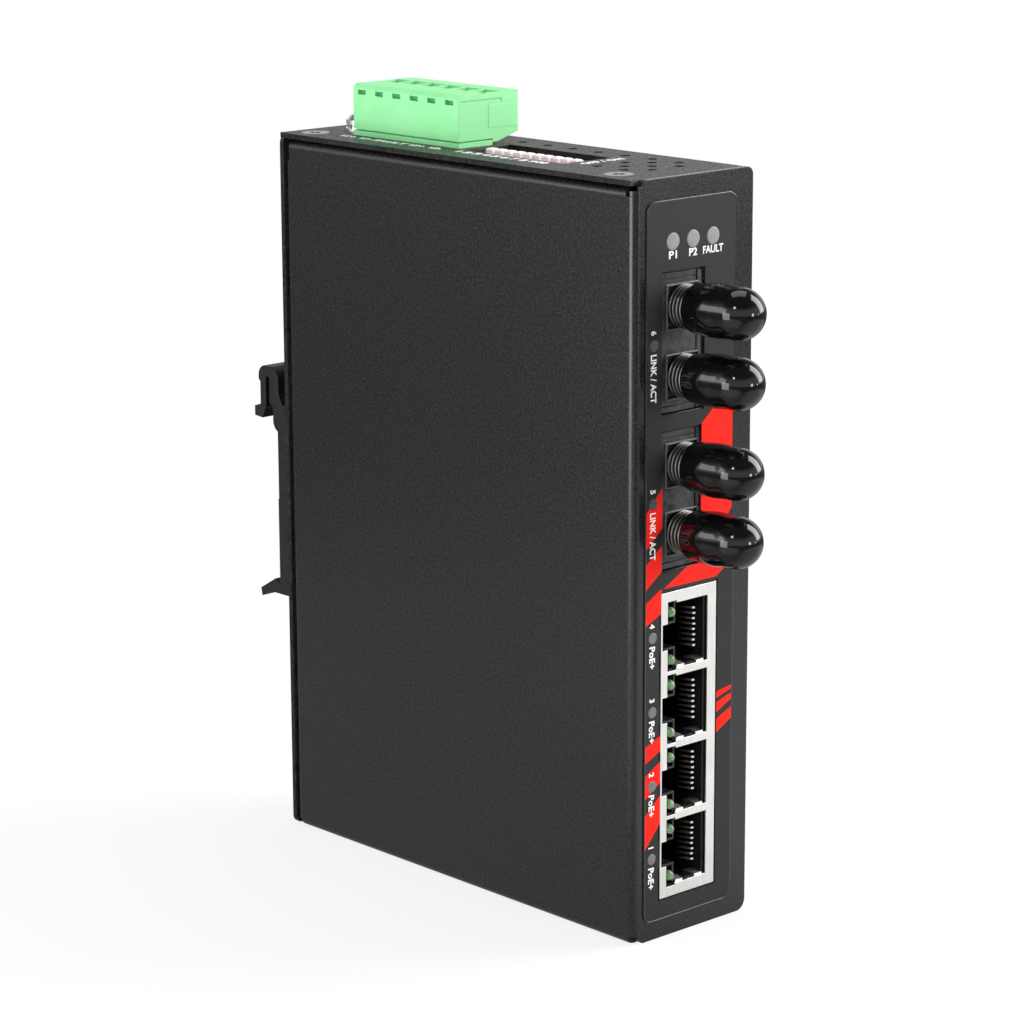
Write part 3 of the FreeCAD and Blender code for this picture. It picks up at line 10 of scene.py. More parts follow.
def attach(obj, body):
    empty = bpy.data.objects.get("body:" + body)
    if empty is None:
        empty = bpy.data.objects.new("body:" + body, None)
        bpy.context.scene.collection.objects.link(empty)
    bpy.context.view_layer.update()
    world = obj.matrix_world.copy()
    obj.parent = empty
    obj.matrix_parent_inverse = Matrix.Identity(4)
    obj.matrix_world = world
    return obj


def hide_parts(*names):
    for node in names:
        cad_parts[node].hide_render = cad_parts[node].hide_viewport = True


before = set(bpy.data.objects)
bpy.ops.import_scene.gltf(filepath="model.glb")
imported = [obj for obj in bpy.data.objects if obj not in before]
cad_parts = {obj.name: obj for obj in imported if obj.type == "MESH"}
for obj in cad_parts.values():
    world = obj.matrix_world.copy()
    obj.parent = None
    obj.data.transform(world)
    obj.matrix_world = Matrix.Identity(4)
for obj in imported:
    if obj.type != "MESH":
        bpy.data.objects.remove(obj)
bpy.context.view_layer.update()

# Sizes in millimetres, in the frame of the part
MM = 0.001
FILM_FACE = -49.75          # outside of the label film
FILM_SPAN = (-12.3, 10.6)   # its sides, its ends and the radius of its corners
FILM_ENDS = (3.6, 138.0)
FILM_CORNER = 2.0
RIM_WIDTH = 0.22            # rolled cut edge of the film
RIM_RISE = 0.05
TOP_FACE = 142.0            # outside of the top wall
BACK_FACE = 49.5            # outside of the back wall
INK = 0.03                  # screen print stands out by this
INK_ROOT = 0.01             # and reaches this far into its carrier
MODULE_FACE = -49.05        # front of the transceivers, their middles and half height
MODULE_MIDDLES = (112.1, 83.146)
MODULE_HALF = 12.7
LID_EDGE = (1.42, 2.3)      # sides of the lid edge on a transceiver's right
LID_RISE = 0.06
LID_ROOT = 0.1
LID_END = 0.3               # lid edge stops short of the transceiver's ends by this
RECEPTACLE_X = -2.45        # places of the four receptacles
RECEPTACLES = (118.45, 105.75, 89.496, 76.796)
POCKET_DEPTH = 0.5
POCKET_HALF = 3.84          # bead round a pocket of the module
BEAD_WIDTH = 0.42
BEAD_RISE = 0.19
BEAD_ROOT = 0.1
SLEEVE_START = 0.2          # first ridge from the module's face
SLEEVE_PITCH = 0.9
SLEEVE_RIDGES = 4
RIDGE_SHARE = 0.6           # ridge's part of the pitch
SLEEVE = 4.1                # radii of ridge, groove, barrel and bore
SLEEVE_GROOVE = 3.75
BARREL = 3.5
BARREL_BORE = 1.27
BARREL_LENGTH = 12.0
BARREL_CHAMFER = 0.4
CAP_START = 3.69            # open end of a cap from the module's face
CAP_BORE = 4.0
CAP_MOUTH = 4.55            # outside radius at the open end
CAP_BODY = 10.3             # open end to the centre of the round end
CAP_HOLLOW = 9.0
CAP_INNER_RING = 2.0        # ring of the inner wall next to the lip
CAP_WALL = 0.05             # what lies further out than this from the bore is the outside
CAP_STATIONS = (0, 0.53, 0.87, 1.0)     # shares of the body's length, and what the radius gains there
CAP_SWELL = (0.03, 0.4, 0.24, 0.25)
CAP_WAVES = (0.005, 0.003)  # shares of the radius by which the skirt is out of round
CAP_TILTS = (1.4, 1.9, 1.3, 2.1)        # degrees by which the caps' round ends stand up
SLOT_FLOOR = -6.0           # floor of the terminal plug's probe slots
SLOT_RISE = 0.1
SLOT_ROOT = 0.05
SLOT_Z = 150.4
SLOT_SIZE = (2.26, 0.86)
POLE_ROWS = tuple(8.65 + 5.08 * i for i in range(6))
FOLD_CORNER = (-13.5, -48.0, 139.2)     # centre of the folds that meet at the left panel's upper corner
FOLD_OUTSIDE = 1.5
FOLD_INSIDE = 0.5
FOLD_RISE = 1.0             # upright fold goes on above the corner by this
FLANGE_START = -45.5        # front end of the upper fold
FLANGE_REACH = 1.6
WALL_END_HALF = 14.8        # end of the top wall over the back wall
WALL_END_START = 47.2
WALL_END_DROP = 0.95
WALL_END_RISE = 0.01

# Windows and lettering in millimetres; weights are in sizes of the typeface
STATUS_PLACES = (-5.8, -0.68, 4.44)
STATUS_Z = 130.48
STATUS_RADIUS = 1.6
STATUS_WORDS = (("P1", 2.0), ("P2", 2.05), ("FAULT", 5.2))      # words and their lengths
STATUS_WORDS_Z = 128.1
STATUS_WORDS_HEIGHT = 1.42
PORT_HEIGHTS = (15.9, 30.0, 44.15, 58.25, 83.25, 112.2)
COPPER_PORTS = 4            # the others are fibre ports
PORT_WINDOW_X = -10.35
PORT_RADIUS = 1.05
PORT_WORDS_X = -10.5
PORT_NUMBER_HEIGHT = 1.3
PORT_NUMBER_RISE = 2.3      # number above the window's middle
COPPER_WORDS = ("PoE+", 4.2)
FIBRE_WORDS = ("LINK / ACT", 8.8)
PORT_WORDS_HEIGHT = 1.45
PORT_WORDS_DROP = 1.6       # words start below the window's middle by this
WINDOW_CROWN = 0.05
SWITCH_ROWS = tuple(-21.16 + 2.54 * i for i in range(10))
SWITCH_NUMBER_X = -9.5
SWITCH_NUMBER_SHIFT = 1.2
SWITCH_NUMBER_HEIGHT = 1.9
SWITCH_NUMBER_LENGTHS = {1: None, 10: 2.3}      # the others share one length
SWITCH_NUMBER_LENGTH = 1.75
SWITCH_SIDES = ("OFF / ON", 10.5)
SWITCH_SIDES_PLACE = (-0.3, -26.0)
SWITCH_SIDES_HEIGHT = 1.7
TERMINAL_WORDS = (("V1+  V1-", 32.6), ("FAULT", 22.5), ("V2+  V2-", 12.4))      # words and their depths
TERMINAL_WORDS_X = -9.6
TERMINAL_WORDS_HEIGHT = 1.8
TERMINAL_WORDS_LENGTH = 9.4
FILM_WEIGHT = 0.022
NUMBER_WEIGHT = 0.035
WALL_WEIGHT = 0.04
LETTER_STEPS = 4            # points along each curve of a letter
LETTER_WELD = 0.0005        # points closer than this are one

# Points along curves
ROUND_STEPS = 96            # round a barrel or a cap
RIDGE_STEPS = 24            # along one ridge of a barrel
SKIRT_STEPS = 34            # along a cap's skirt, from this share of its length on
SKIRT_START = 0.02
DOME_STEPS = 26             # along its round end
LIP_STEPS = 7               # across its lip
WINDOW_STEPS = 40           # round a window
WINDOW_RINGS = 7            # from its rim to its middle
RIM_STEPS = 7               # across the film's cut edge
ARC_STEPS = 9               # along a fold, a bead or a corner of the film

# Studio in metres and degrees
MIDDLE = (0, -0.01, 0.09)   # point that the lamps face
FLOOR_REACH = 6.0
SHADOW_REACH = (0.1, 0.4)   # distances between which the floor turns fully white
SHADOW_WHITE = (0.8, 1.0)
POOLS = (((0.16, -0.2, 0), 0.95), ((-0.3, -0.09, 0), 1.0), ((-0.05, 0.05, 0), 0.4))     # places and strengths
POOL_EDGE = (0.15, 0.28)    # radii between which a pool fades
POOL_FAR = 0.2
BACKDROP_RISE = (0.3, 0.6)  # heights on the unit sphere between which the backdrop darkens
BACKDROP_TOP = 0.12
EVEN_LIGHT = 0.42
CAMERA_PLACE = (-0.42948, -0.46732, 0.22296)
CAMERA_TURN = (-42.643, 13.416, -0.250)         # yaw, drop and roll
CAMERA_LENS = 118.72        # millimetres, with the sensor's width
CAMERA_SENSOR = 36.0
CAMERA_CLIP = 0.01


# Small helpers
def linear(colour):
    """Hex colour to linear light: each channel c becomes c / 12.92 or ((c + 0.055) / 1.055) ** 2.4."""
    channels = np.array([int(colour[i:i + 2], 16) for i in (1, 3, 5)]) / 255
    curve = np.where(channels > 0.04045, ((channels + 0.055) / 1.055) ** 2.4, channels / 12.92)
    return (*curve.tolist(), 1.0)


def add(tree, kind, inputs=None, **settings):
    """Adds one node: settings are its properties, and each input takes a value or another node's output."""
    made = tree.nodes.new("ShaderNode" + kind)
    for name, value in settings.items():
        setattr(made, name, value)
    for name, value in (inputs or {}).items():
        if isinstance(value, bpy.types.NodeSocket):
            tree.links.new(value, made.inputs[name])
        else:
            made.inputs[name].default_value = value
    return made


# Finishes
def finish(name, colour, second, blotch, grain, depth, rough, stretch=(1, 1, 1), edge=0.0,
           painted_crest_light=None, fade=None, sheared=None, **shader):
    """Surface of one material.

    Colour runs from `colour` to `second`, and roughness over `rough`, with a cloud of `blotch` mm;
    the relief is a finer noise of `grain` mm and `depth` mm. `stretch` draws both out along an axis, and
    `edge` is the radius in mm to which sharp edges look broken. The ridge colour is a painted highlight on
    the ridges that a piece's own attribute marks, and `fade` a colour that is reached along Y between two
    places in mm, used as painted shade.
    `sheared` is the specular level of faces that look left, the cut edges of the sheet.
    """
    made = bpy.data.materials.new(name)
    made.use_nodes = True
    tree = made.node_tree
    bsdf = tree.nodes["Principled BSDF"]
    place = add(tree, "TexCoord").outputs["Object"]
    place = add(tree, "Mapping", {"Vector": place, "Scale": stretch}).outputs["Vector"]
    cloud = add(tree, "TexNoise", {"Vector": place, "Scale": 1 / (blotch * MM), "Detail": 4.0,
                                   "Roughness": 0.6}).outputs[0]
    spread = add(tree, "MapRange", {"Value": cloud, "From Min": 0.3, "From Max": 0.7}).outputs[0]
    tint = add(tree, "Mix", {0: spread, 6: linear(colour), 7: linear(second)}, data_type="RGBA")
    tint = tint.outputs[2]
    if painted_crest_light:
        ridge = add(tree, "Attribute", attribute_name="painted_crest_light").outputs["Fac"]
        tint = add(tree, "Mix", {0: ridge, 6: tint, 7: linear(painted_crest_light)}, data_type="RGBA").outputs[2]
    if fade:
        start, stop, deep = fade
        depth_in = add(tree, "SeparateXYZ", {0: place}).outputs["Y"]
        share = add(tree, "MapRange", {"Value": depth_in, "From Min": start * MM, "From Max": stop * MM})
        tint = add(tree, "Mix", {0: share.outputs[0], 6: tint, 7: linear(deep)}, data_type="RGBA").outputs[2]
    tree.links.new(tint, bsdf.inputs["Base Color"])
    dull = add(tree, "MapRange", {"Value": spread, "To Min": rough[0], "To Max": rough[1]})
    tree.links.new(dull.outputs[0], bsdf.inputs["Roughness"])
    relief = add(tree, "TexNoise", {"Vector": place, "Scale": 1 / (grain * MM), "Detail": 2.0})
    bump = add(tree, "Bump", {"Height": relief.outputs[0], "Strength": 1.0, "Distance": depth * MM})
    tree.links.new(bump.outputs[0], bsdf.inputs["Normal"])
    if edge:
        broken = add(tree, "Bevel", {"Radius": edge * MM}, samples=4)
        tree.links.new(broken.outputs[0], bump.inputs["Normal"])
    for socket, value in shader.items():
        bsdf.inputs[socket.replace("_", " ")].default_value = value
    if sheared:
        facing = add(tree, "SeparateXYZ", {0: add(tree, "NewGeometry").outputs["True Normal"]})
        level = add(tree, "MapRange", {"Value": facing.outputs["X"], "From Min": -1.0, "From Max": -0.8,
                                       "To Min": sheared, "To Max": shader["Specular_IOR_Level"]})
        tree.links.new(level.outputs[0], bsdf.inputs["Specular IOR Level"])
    return made


FINISHES = {
    # Black polyester powder on folded steel: a dry grit, drawn coarser than it is so that it shows, and a
    # tight sheen on the folds.
    "powder_coat": finish("black_polyester_powder_coat", "#040404", "#232323", blotch=0.5, grain=0.34,
                          depth=0.015, rough=(0.22, 0.3), edge=0.2, Specular_IOR_Level=0.57),
    # Velvet polycarbonate film printed dark grey from behind: paler and smoother than the coat.
    "print_film": finish("velvet_polycarbonate_film", "#252525", "#2c2c2c", blotch=0.9, grain=0.3,
                         depth=0.008, rough=(0.5, 0.6), Specular_IOR_Level=0.2),
    # Black oxide on steel screws, rubbed bright: grey with tight glints on the edges of the recess.
    "black_steel": finish("black_oxide_steel", "#6c6c6e", "#88888b", blotch=0.6, grain=0.15, depth=0.004,
                          rough=(0.2, 0.32), Metallic=1.0),
    # Clear zinc on steel: bright, a little blue, softly clouded.
    "zinc_steel": finish("clear_zinc_plate", "#e2e5e8", "#f1f3f5", blotch=0.8, grain=0.2, depth=0.003,
                         rough=(0.2, 0.34), Metallic=1.0),
    # Tin plate, rolled and stamped: pale and faintly streaked along the strip.
    "tin_plate": finish("rolled_tin_plate", "#e2e1de", "#eeedea", blotch=0.6, grain=0.12, depth=0.002,
                        rough=(0.36, 0.48), stretch=(1, 1, 0.12), edge=0.12, Metallic=1.0),
    # Spring wires plated with gold: nearly white where they are lit; deeper in the socket the colour fades to
    # dull grey, a painted shade.
    "gold_plate": finish("gold_on_nickel_painted_shade", "#f0ebdf", "#f7f4ec", blotch=0.5, grain=0.1, depth=0.001,
                         rough=(0.26, 0.34), fade=(-47.2, -44.6, "#2b2823"), Metallic=1.0),
    # Tinned brass leads: grey white and slightly dull from the solder bath.
    "tinned_brass": finish("tinned_brass", "#c9c6bd", "#dedbd2", blotch=0.5, grain=0.2, depth=0.004,
                           rough=(0.32, 0.45), Metallic=1.0),
    # Black PBT with glass fibre: even satin from a spark-eroded mould.
    "black_moulding": finish("black_glass_filled_PBT", "#121212", "#1a1a1a", blotch=1.5, grain=0.25,
                             depth=0.006, rough=(0.36, 0.46), edge=0.1),
    # Conductive black plastic of the transceivers: mottled satin, rubbed paler by handling.
    "module_moulding": finish("conductive_black_plastic", "#181818", "#484848", blotch=1.6, grain=0.3,
                              depth=0.012, rough=(0.4, 0.54), edge=0.15, Specular_IOR_Level=0.35),
    # Pale green epoxy of the jack's lights: milky and glassy, with small bright points.
    "green_lens": finish("green_tinted_epoxy", "#547f51", "#92b184", blotch=0.7, grain=0.4, depth=0.002,
                         rough=(0.04, 0.08), Transmission_Weight=0.25),
    # Clear epoxy light pipes.
    "clear_lens": finish("clear_epoxy", "#c9ccc8", "#dadcd8", blotch=0.8, grain=0.4, depth=0.002,
                         rough=(0.12, 0.2), Transmission_Weight=0.5),
    # Dipped black PVC: wet gloss over slow dents, so highlights are crisp but not straight.
    "cap_vinyl": finish("dipped_black_PVC", "#070707", "#0c0c0c", blotch=5.0, grain=3.2, depth=0.012,
                        rough=(0.07, 0.11), IOR=1.45),
    # Green polyamide of the terminal block: bright and matt, slightly lighter where it is thin.
    "green_moulding": finish("green_polyamide", "#8de79d", "#96eba4", blotch=4.0, grain=0.3, depth=0.006,
                             rough=(0.48, 0.58), edge=0.15),
    # Red PBT body of the setting switches.
    "red_moulding": finish("red_PBT", "#a01411", "#aa1a16", blotch=2.0, grain=0.25, depth=0.005,
                           rough=(0.4, 0.5)),
    # White PBT sliders.
    "white_moulding": finish("white_PBT", "#fbfbfa", "#fefefd", blotch=2.0, grain=0.25, depth=0.005,
                             rough=(0.4, 0.5)),
    # Black glass-filled polyamide of the rail clip: coarse satin.
    "clip_moulding": finish("black_glass_filled_polyamide", "#0d0d0d", "#151515", blotch=1.6, grain=0.35,
                            depth=0.016, rough=(0.44, 0.56), edge=0.2, Specular_IOR_Level=0.35),
    # Glass laminate under green solder mask.
    "board_laminate": finish("green_solder_mask", "#164a2a", "#1d5a34", blotch=2.0, grain=0.5, depth=0.006,
                             rough=(0.3, 0.4)),
    # Epoxy chip cases: dead black and finely blasted.
    "chip_epoxy": finish("black_chip_epoxy", "#151515", "#1c1c1c", blotch=0.8, grain=0.12, depth=0.006,
                         rough=(0.55, 0.65)),
    # Pressed ferrite: charcoal, chalky.
    "ferrite": finish("pressed_ferrite", "#2b2b2d", "#38383a", blotch=0.9, grain=0.2, depth=0.015,
                      rough=(0.6, 0.75)),
    # Extruded aluminium: soft grey with lines along the extrusion.
    "bare_aluminium": finish("extruded_aluminium", "#b9bbbd", "#cfd1d2", blotch=0.5, grain=0.15,
                             depth=0.004, rough=(0.32, 0.44), stretch=(1, 1, 0.1), Metallic=1.0),
    # Grey silicone heat pad.
    "pad_silicone": finish("grey_silicone", "#8b9094", "#979ca0", blotch=1.5, grain=0.4, depth=0.01,
                           rough=(0.6, 0.7)),
    # Relay case of yellow-white polyester.
    "relay_case": finish("white_polyester_case", "#d9d6cb", "#e2dfd5", blotch=2.0, grain=0.3, depth=0.005,
                         rough=(0.35, 0.45)),
}
# Screen inks: dense, slightly dry colour that keeps the film's velvet.
RED_INK = finish("red_screen_ink", "#f01e12", "#f42414", blotch=1.2, grain=0.3, depth=0.006,
                 rough=(0.5, 0.6), Specular_IOR_Level=0.1)
WHITE_INK = finish("white_screen_ink", "#f3f3f1", "#f8f8f6", blotch=1.2, grain=0.3, depth=0.004,
                   rough=(0.5, 0.6))
# Unprinted film over a light: milky and pale grey over the status lights, smoked at the copper ports and
# darker still at the fibre ports.
STATUS_FILM = finish("milky_window_film", "#848484", "#8f8f8f", blotch=1.0, grain=0.3, depth=0.004,
                     rough=(0.45, 0.55))
PORT_FILM = finish("smoked_window_film", "#626262", "#6c6c6c", blotch=1.0, grain=0.3, depth=0.004,
                   rough=(0.45, 0.55))
FIBRE_FILM = finish("dark_smoked_window_film", "#424242", "#4b4b4b", blotch=1.0, grain=0.3, depth=0.004,
                    rough=(0.45, 0.55))
# Blackened zinc casting of the receptacles: dark grey metal; the paler ridge tops are a painted highlight
# against the dark grooves.
SLEEVE_METAL = finish("blackened_zinc_casting", "#2c2c2c", "#3a3a39", blotch=0.8, grain=0.25, depth=0.003,
                      rough=(0.3, 0.38), painted_crest_light="#8f8e8b", Metallic=1.0)
# Cut edge of the film: the clear front layer shows, dark and glossy, and draws a fine line of light.
CUT_EDGE = finish("cut_polycarbonate_edge", "#202020", "#282828", blotch=0.9, grain=0.3, depth=0.001,
                  rough=(0.12, 0.2), Specular_IOR_Level=1.0)
# Edges of the transceivers: paler and smoother than the face; the paler colour is a painted highlight on the
# pocket beads and lid edges.
PAINTED_HIGHLIGHT_PLASTIC = finish("painted_highlight_black_plastic", "#4c4c4c", "#767676", blotch=0.9, grain=0.3, depth=0.008,
                        rough=(0.3, 0.42))
# The same powder in a coarser bake on the folded top, back and right side: dry, with a stronger speckle,
# drawn coarse enough to show. Its sheared edges took little powder and stay dull.
COARSE_COAT = finish("black_coarse_powder_coat", "#040404", "#303030", blotch=0.7, grain=0.5, depth=0.05,
                     rough=(0.3, 0.72), edge=0.2, sheared=0.12, Specular_IOR_Level=0.68)
# Painted shade: a darker green sheet at the bottom of each probe slot of the green block stands in for the
# shade there.
SLOT_PAINTED_SHADE = finish("painted_shade_green_polyamide", "#3a9463", "#46a06e", blotch=2.0, grain=0.3, depth=0.006,
                    rough=(0.5, 0.6))
OWN_FINISH = {f"fibre_sleeve_{number}": SLEEVE_METAL for number in range(1, len(RECEPTACLES) + 1)}
OWN_FINISH["rear_shell"] = COARSE_COAT

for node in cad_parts.values():
    slot = node.data.materials[0].name
    node.material_slots[0].material = OWN_FINISH.get(node.name, FINISHES[slot])


# Shapes
def piece(name, points, faces, material, smooth=True):
    """Closed mesh from points in millimetres and rows of corner numbers, riding on the switch's body."""
    mesh = bpy.data.meshes.new(name)
    mesh.from_pydata((np.asarray(points) * MM).tolist(), [], faces)
    mesh.polygons.foreach_set("use_smooth", np.full(len(mesh.polygons), smooth))
    mesh.materials.append(material)
    made = bpy.data.objects.new(name, mesh)
    bpy.context.scene.collection.objects.link(made)
    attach(made, "switch")
    return made


def turned(along, radius, steps):
    """Points and faces of a profile carried round an axis.

    Point (i, j) is (radius_i cos a_j, -along_i, radius_i sin a_j); the first and last stations lie on
    the axis and are single points, closed by fans.
    """
    angle = np.linspace(0, 2 * np.pi, steps, endpoint=False)
    inner = slice(1, -1)
    ring = np.stack((np.outer(radius[inner], np.cos(angle)), np.outer(-along[inner], np.ones(steps)),
                     np.outer(radius[inner], np.sin(angle))), axis=-1).reshape(-1, 3)
    points = np.vstack(([[0, -along[0], 0]], ring, [[0, -along[-1], 0]]))
    rows = len(along) - 2
    first = 1 + np.arange(rows * steps).reshape(rows, steps)
    after = np.roll(first, -1, axis=1)
    quads = np.stack((first[:-1], after[:-1], after[1:], first[1:]), axis=-1).reshape(-1, 4)
    start = np.column_stack((np.zeros(steps, int), after[0], first[0]))
    end = np.column_stack((np.full(steps, len(points) - 1), first[-1], after[-1]))
    return points, quads.tolist() + start.tolist() + end.tolist()


def ring_quads(rows, steps):
    """Faces of a closed profile of `rows` points carried round `steps` places and back to the first."""
    first = np.arange(rows * steps).reshape(rows, steps)
    below = np.roll(first, -1, axis=0)
    quads = np.stack((first, np.roll(first, -1, axis=1), np.roll(below, -1, axis=1), below), axis=-1)
    return quads.reshape(-1, 4)


def turned_ring(along, radius, steps):
    """The same for a closed profile that stays off the axis: its last station joins its first."""
    angle = np.linspace(0, 2 * np.pi, steps, endpoint=False)
    points = np.stack((np.outer(radius, np.cos(angle)), np.outer(-along, np.ones(steps)),
                       np.outer(radius, np.sin(angle))), axis=-1).reshape(-1, 3)
    return points, ring_quads(len(along), steps).tolist()


def prism(name, outline, along, material):
    """Block from an outline of corners in millimetres carried along a vector, with a cap at each end; the
    corners run anticlockwise for a viewer at whom the vector points."""
    start = np.asarray(outline, float)
    count = len(start)
    step = np.arange(count)
    after = np.roll(step, -1)
    sides = np.column_stack((step, after, after + count, step + count)).tolist()
    faces = sides + [step[::-1].tolist(), (step + count).tolist()]
    piece(name, np.vstack((start, start + along)), faces, material, smooth=False)


def red_print(name, outline):
    """Field of red ink on the film: the outline's corners in x and z, just under the film's face and one ink
    thickness out from it, with side walls between the two."""
    corners = np.array(outline, float)
    root = np.column_stack((corners[:, 0], np.full(len(corners), FILM_FACE + INK_ROOT), corners[:, 1]))
    prism(name, root, (0, -INK - INK_ROOT, 0), RED_INK)


def quarter_fold(name, centre, first, second, along):
    """Quarter ring of folded sheet: outer and inner arc run from direction `first` to `second`, a point at
    angle t being centre + radius * (first cos t + second sin t), and the ring is carried along a vector."""
    angle = np.linspace(0, np.pi / 2, ARC_STEPS)
    arc = np.outer(np.cos(angle), first) + np.outer(np.sin(angle), second)
    outline = np.array(centre) + np.vstack((FOLD_OUTSIDE * arc, FOLD_INSIDE * arc[::-1]))
    prism(name, outline, along, FINISHES["powder_coat"])


def slab(name, low, high, material):
    """Block between two corners in millimetres: corner (i, j, k) takes each place from `low` or `high`."""
    choice = np.indices((2, 2, 2)).reshape(3, -1).T
    points = np.where(choice == 0, np.array(low, float), np.array(high, float))
    faces = [(0, 1, 3, 2), (4, 6, 7, 5), (0, 4, 5, 1), (2, 3, 7, 6), (0, 2, 6, 4), (1, 5, 7, 3)]
    piece(name, points, faces, material, smooth=False)


def half_round(width, rise, root, steps):
    """Section of a half-round bead as places across it and out from its carrier: at turn t they are
    width / 2 * (1 - cos t) and rise * sin t, and two more points close it at `root` below."""
    turn = np.linspace(0, np.pi, steps)
    across = np.concatenate((width / 2 * (1 - np.cos(turn)), [width, 0]))
    out = np.concatenate((rise * np.sin(turn), [-root, -root]))
    return across, out


def pocket_bead(number, z):
    """Half-round bead carried round a square pocket with mitred corners; the corners run against the other
    rings, so the faces are turned over."""
    across, out = half_round(BEAD_WIDTH, BEAD_RISE, BEAD_ROOT, ARC_STEPS)
    corner = np.array([(-1, -1), (1, -1), (1, 1), (-1, 1)])
    reach = POCKET_HALF + across
    points = np.stack((np.outer(reach, corner[:, 0]), np.outer(-out, np.ones(len(corner))),
                       np.outer(reach, corner[:, 1])), axis=-1).reshape(-1, 3)
    faces = ring_quads(len(across), len(corner))[:, [0, 3, 2, 1]].tolist()
    # the bead's paler colour is a painted highlight along its rim
    piece(f"pocket_bead_{number}", points + (RECEPTACLE_X, MODULE_FACE, z), faces, PAINTED_HIGHLIGHT_PLASTIC,
          smooth=False)


def film_rim():
    """Cut edge of the film: a half-round bead carried round the film's rounded outline. A point at angle a
    lies at its corner's centre plus reach * (cos a, sin a), and the reach is the corner's radius less the
    point's place across the bead."""
    across, out = half_round(RIM_WIDTH, RIM_RISE, INK_ROOT, RIM_STEPS)
    quarter = np.linspace(0, np.pi / 2, ARC_STEPS)
    angle = np.concatenate([quarter + side * np.pi / 2 for side in range(4)])
    left, right = FILM_SPAN[0] + FILM_CORNER, FILM_SPAN[1] - FILM_CORNER
    low, high = FILM_ENDS[0] + FILM_CORNER, FILM_ENDS[1] - FILM_CORNER
    x = np.repeat((right, left, left, right), len(quarter))
    z = np.repeat((high, high, low, low), len(quarter))
    reach = FILM_CORNER - across
    points = np.stack((x + np.outer(reach, np.cos(angle)), FILM_FACE - np.outer(out, np.ones(len(angle))),
                       z + np.outer(reach, np.sin(angle))), axis=-1).reshape(-1, 3)
    piece("film_rim", points, ring_quads(len(across), len(angle)).tolist(), CUT_EDGE)


def round_window(name, x, z, radius, material):
    """Round window, faintly crowned: its height falls off with the square of the distance from the middle."""
    share = np.linspace(1, 0, WINDOW_RINGS)
    along = np.concatenate(([-INK_ROOT, -INK_ROOT], INK + WINDOW_CROWN * (1 - share ** 2)))
    radii = np.concatenate(([0, radius], radius * share))
    points, faces = turned(along, radii, WINDOW_STEPS)
    piece(name, points + (x, FILM_FACE, z), faces, material)


def legend(name, words, height, centre, across, up, length=None, weight=FILM_WEIGHT):
    """Printed words: filled letter outlines, fattened by `weight` and two ink thicknesses high, so that they
    lie over a red field, scaled to a height and, where it is given, to a length, with their middle at
    `centre` and their lines along `across` and `up`."""
    curve = bpy.data.curves.new(name, "FONT")
    curve.body = words
    curve.align_x = "CENTER"
    curve.resolution_u = LETTER_STEPS
    curve.offset = weight
    curve.extrude = 0.5
    carrier = bpy.data.objects.new(name + "_outline", curve)
    mesh = bpy.data.meshes.new_from_object(carrier)
    bpy.data.objects.remove(carrier)
    points = np.empty(len(mesh.vertices) * 3, np.float32)
    mesh.vertices.foreach_get("co", points)
    points = points.reshape(-1, 3)
    low = points.min(axis=0)
    span = points.max(axis=0) - low
    share = (points - low) / span
    length = length or height * span[0] / span[1]
    across = np.array(across, float)
    up = np.array(up, float)
    out = np.cross(across, up)
    placed = (np.array(centre) + np.outer((share[:, 0] - 0.5) * length, across)
              + np.outer((share[:, 1] - 0.5) * height, up)
              + np.outer(share[:, 2] * (2 * INK + INK_ROOT) - INK_ROOT, out)) * MM
    mesh.vertices.foreach_set("co", placed.astype(np.float32).ravel())
    welded = bmesh.new()
    welded.from_mesh(mesh)
    bmesh.ops.remove_doubles(welded, verts=welded.verts, dist=LETTER_WELD * MM)
    bmesh.ops.recalc_face_normals(welded, faces=welded.faces)
    welded.to_mesh(mesh)
    welded.free()
    mesh.materials.clear()
    mesh.materials.append(WHITE_INK)
    made = bpy.data.objects.new(name, mesh)
    bpy.context.scene.collection.objects.link(made)
    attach(made, "switch")


# Receptacles and dust caps
def receptacle(number, z):
    """Barrel with rounded ridges next to the module: over the first part of each pitch the radius rises and
    falls as the square root of half a sine wave."""
    run = np.linspace(0, SLEEVE_RIDGES, RIDGE_STEPS * SLEEVE_RIDGES + 1)
    wave = np.sin(np.pi * np.clip((run % 1) / RIDGE_SHARE, 0, 1))
    ridge = SLEEVE_GROOVE + (SLEEVE - SLEEVE_GROOVE) * np.sqrt(np.clip(wave, 0, 1))
    ridge_end = SLEEVE_START + SLEEVE_RIDGES * SLEEVE_PITCH
    along = np.concatenate(([BARREL_LENGTH, -POCKET_DEPTH, -POCKET_DEPTH], SLEEVE_START + run * SLEEVE_PITCH,
                            [ridge_end, BARREL_LENGTH - BARREL_CHAMFER, BARREL_LENGTH]))
    radius = np.concatenate(([BARREL_BORE, BARREL_BORE, SLEEVE_GROOVE], ridge,
                             [BARREL, BARREL, BARREL - BARREL_CHAMFER]))
    points, faces = turned_ring(along, radius, ROUND_STEPS)
    made = piece(f"receptacle_{number}", points + (RECEPTACLE_X, MODULE_FACE, z), faces, SLEEVE_METAL)
    # Painted highlight: the ridge tops take a paler colour, growing with the square of their height above the
    # groove.
    height = np.clip((radius - SLEEVE_GROOVE) / (SLEEVE - SLEEVE_GROOVE), 0, 1)
    painted_crest_light = made.data.attributes.new("painted_crest_light", "FLOAT", "POINT")
    painted_crest_light.data.foreach_set("value", np.repeat(height ** 2, ROUND_STEPS))
    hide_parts(f"fibre_sleeve_{number}")


def soft_steps(stations, values, at):
    """Value at `at`: between two stations it follows half a cosine wave from one value to the next."""
    right = np.clip(np.searchsorted(stations, at), 1, len(stations) - 1)
    left = right - 1
    share = (at - stations[left]) / (stations[right] - stations[left])
    return values[left] + (values[right] - values[left]) * (1 - np.cos(np.pi * share)) / 2


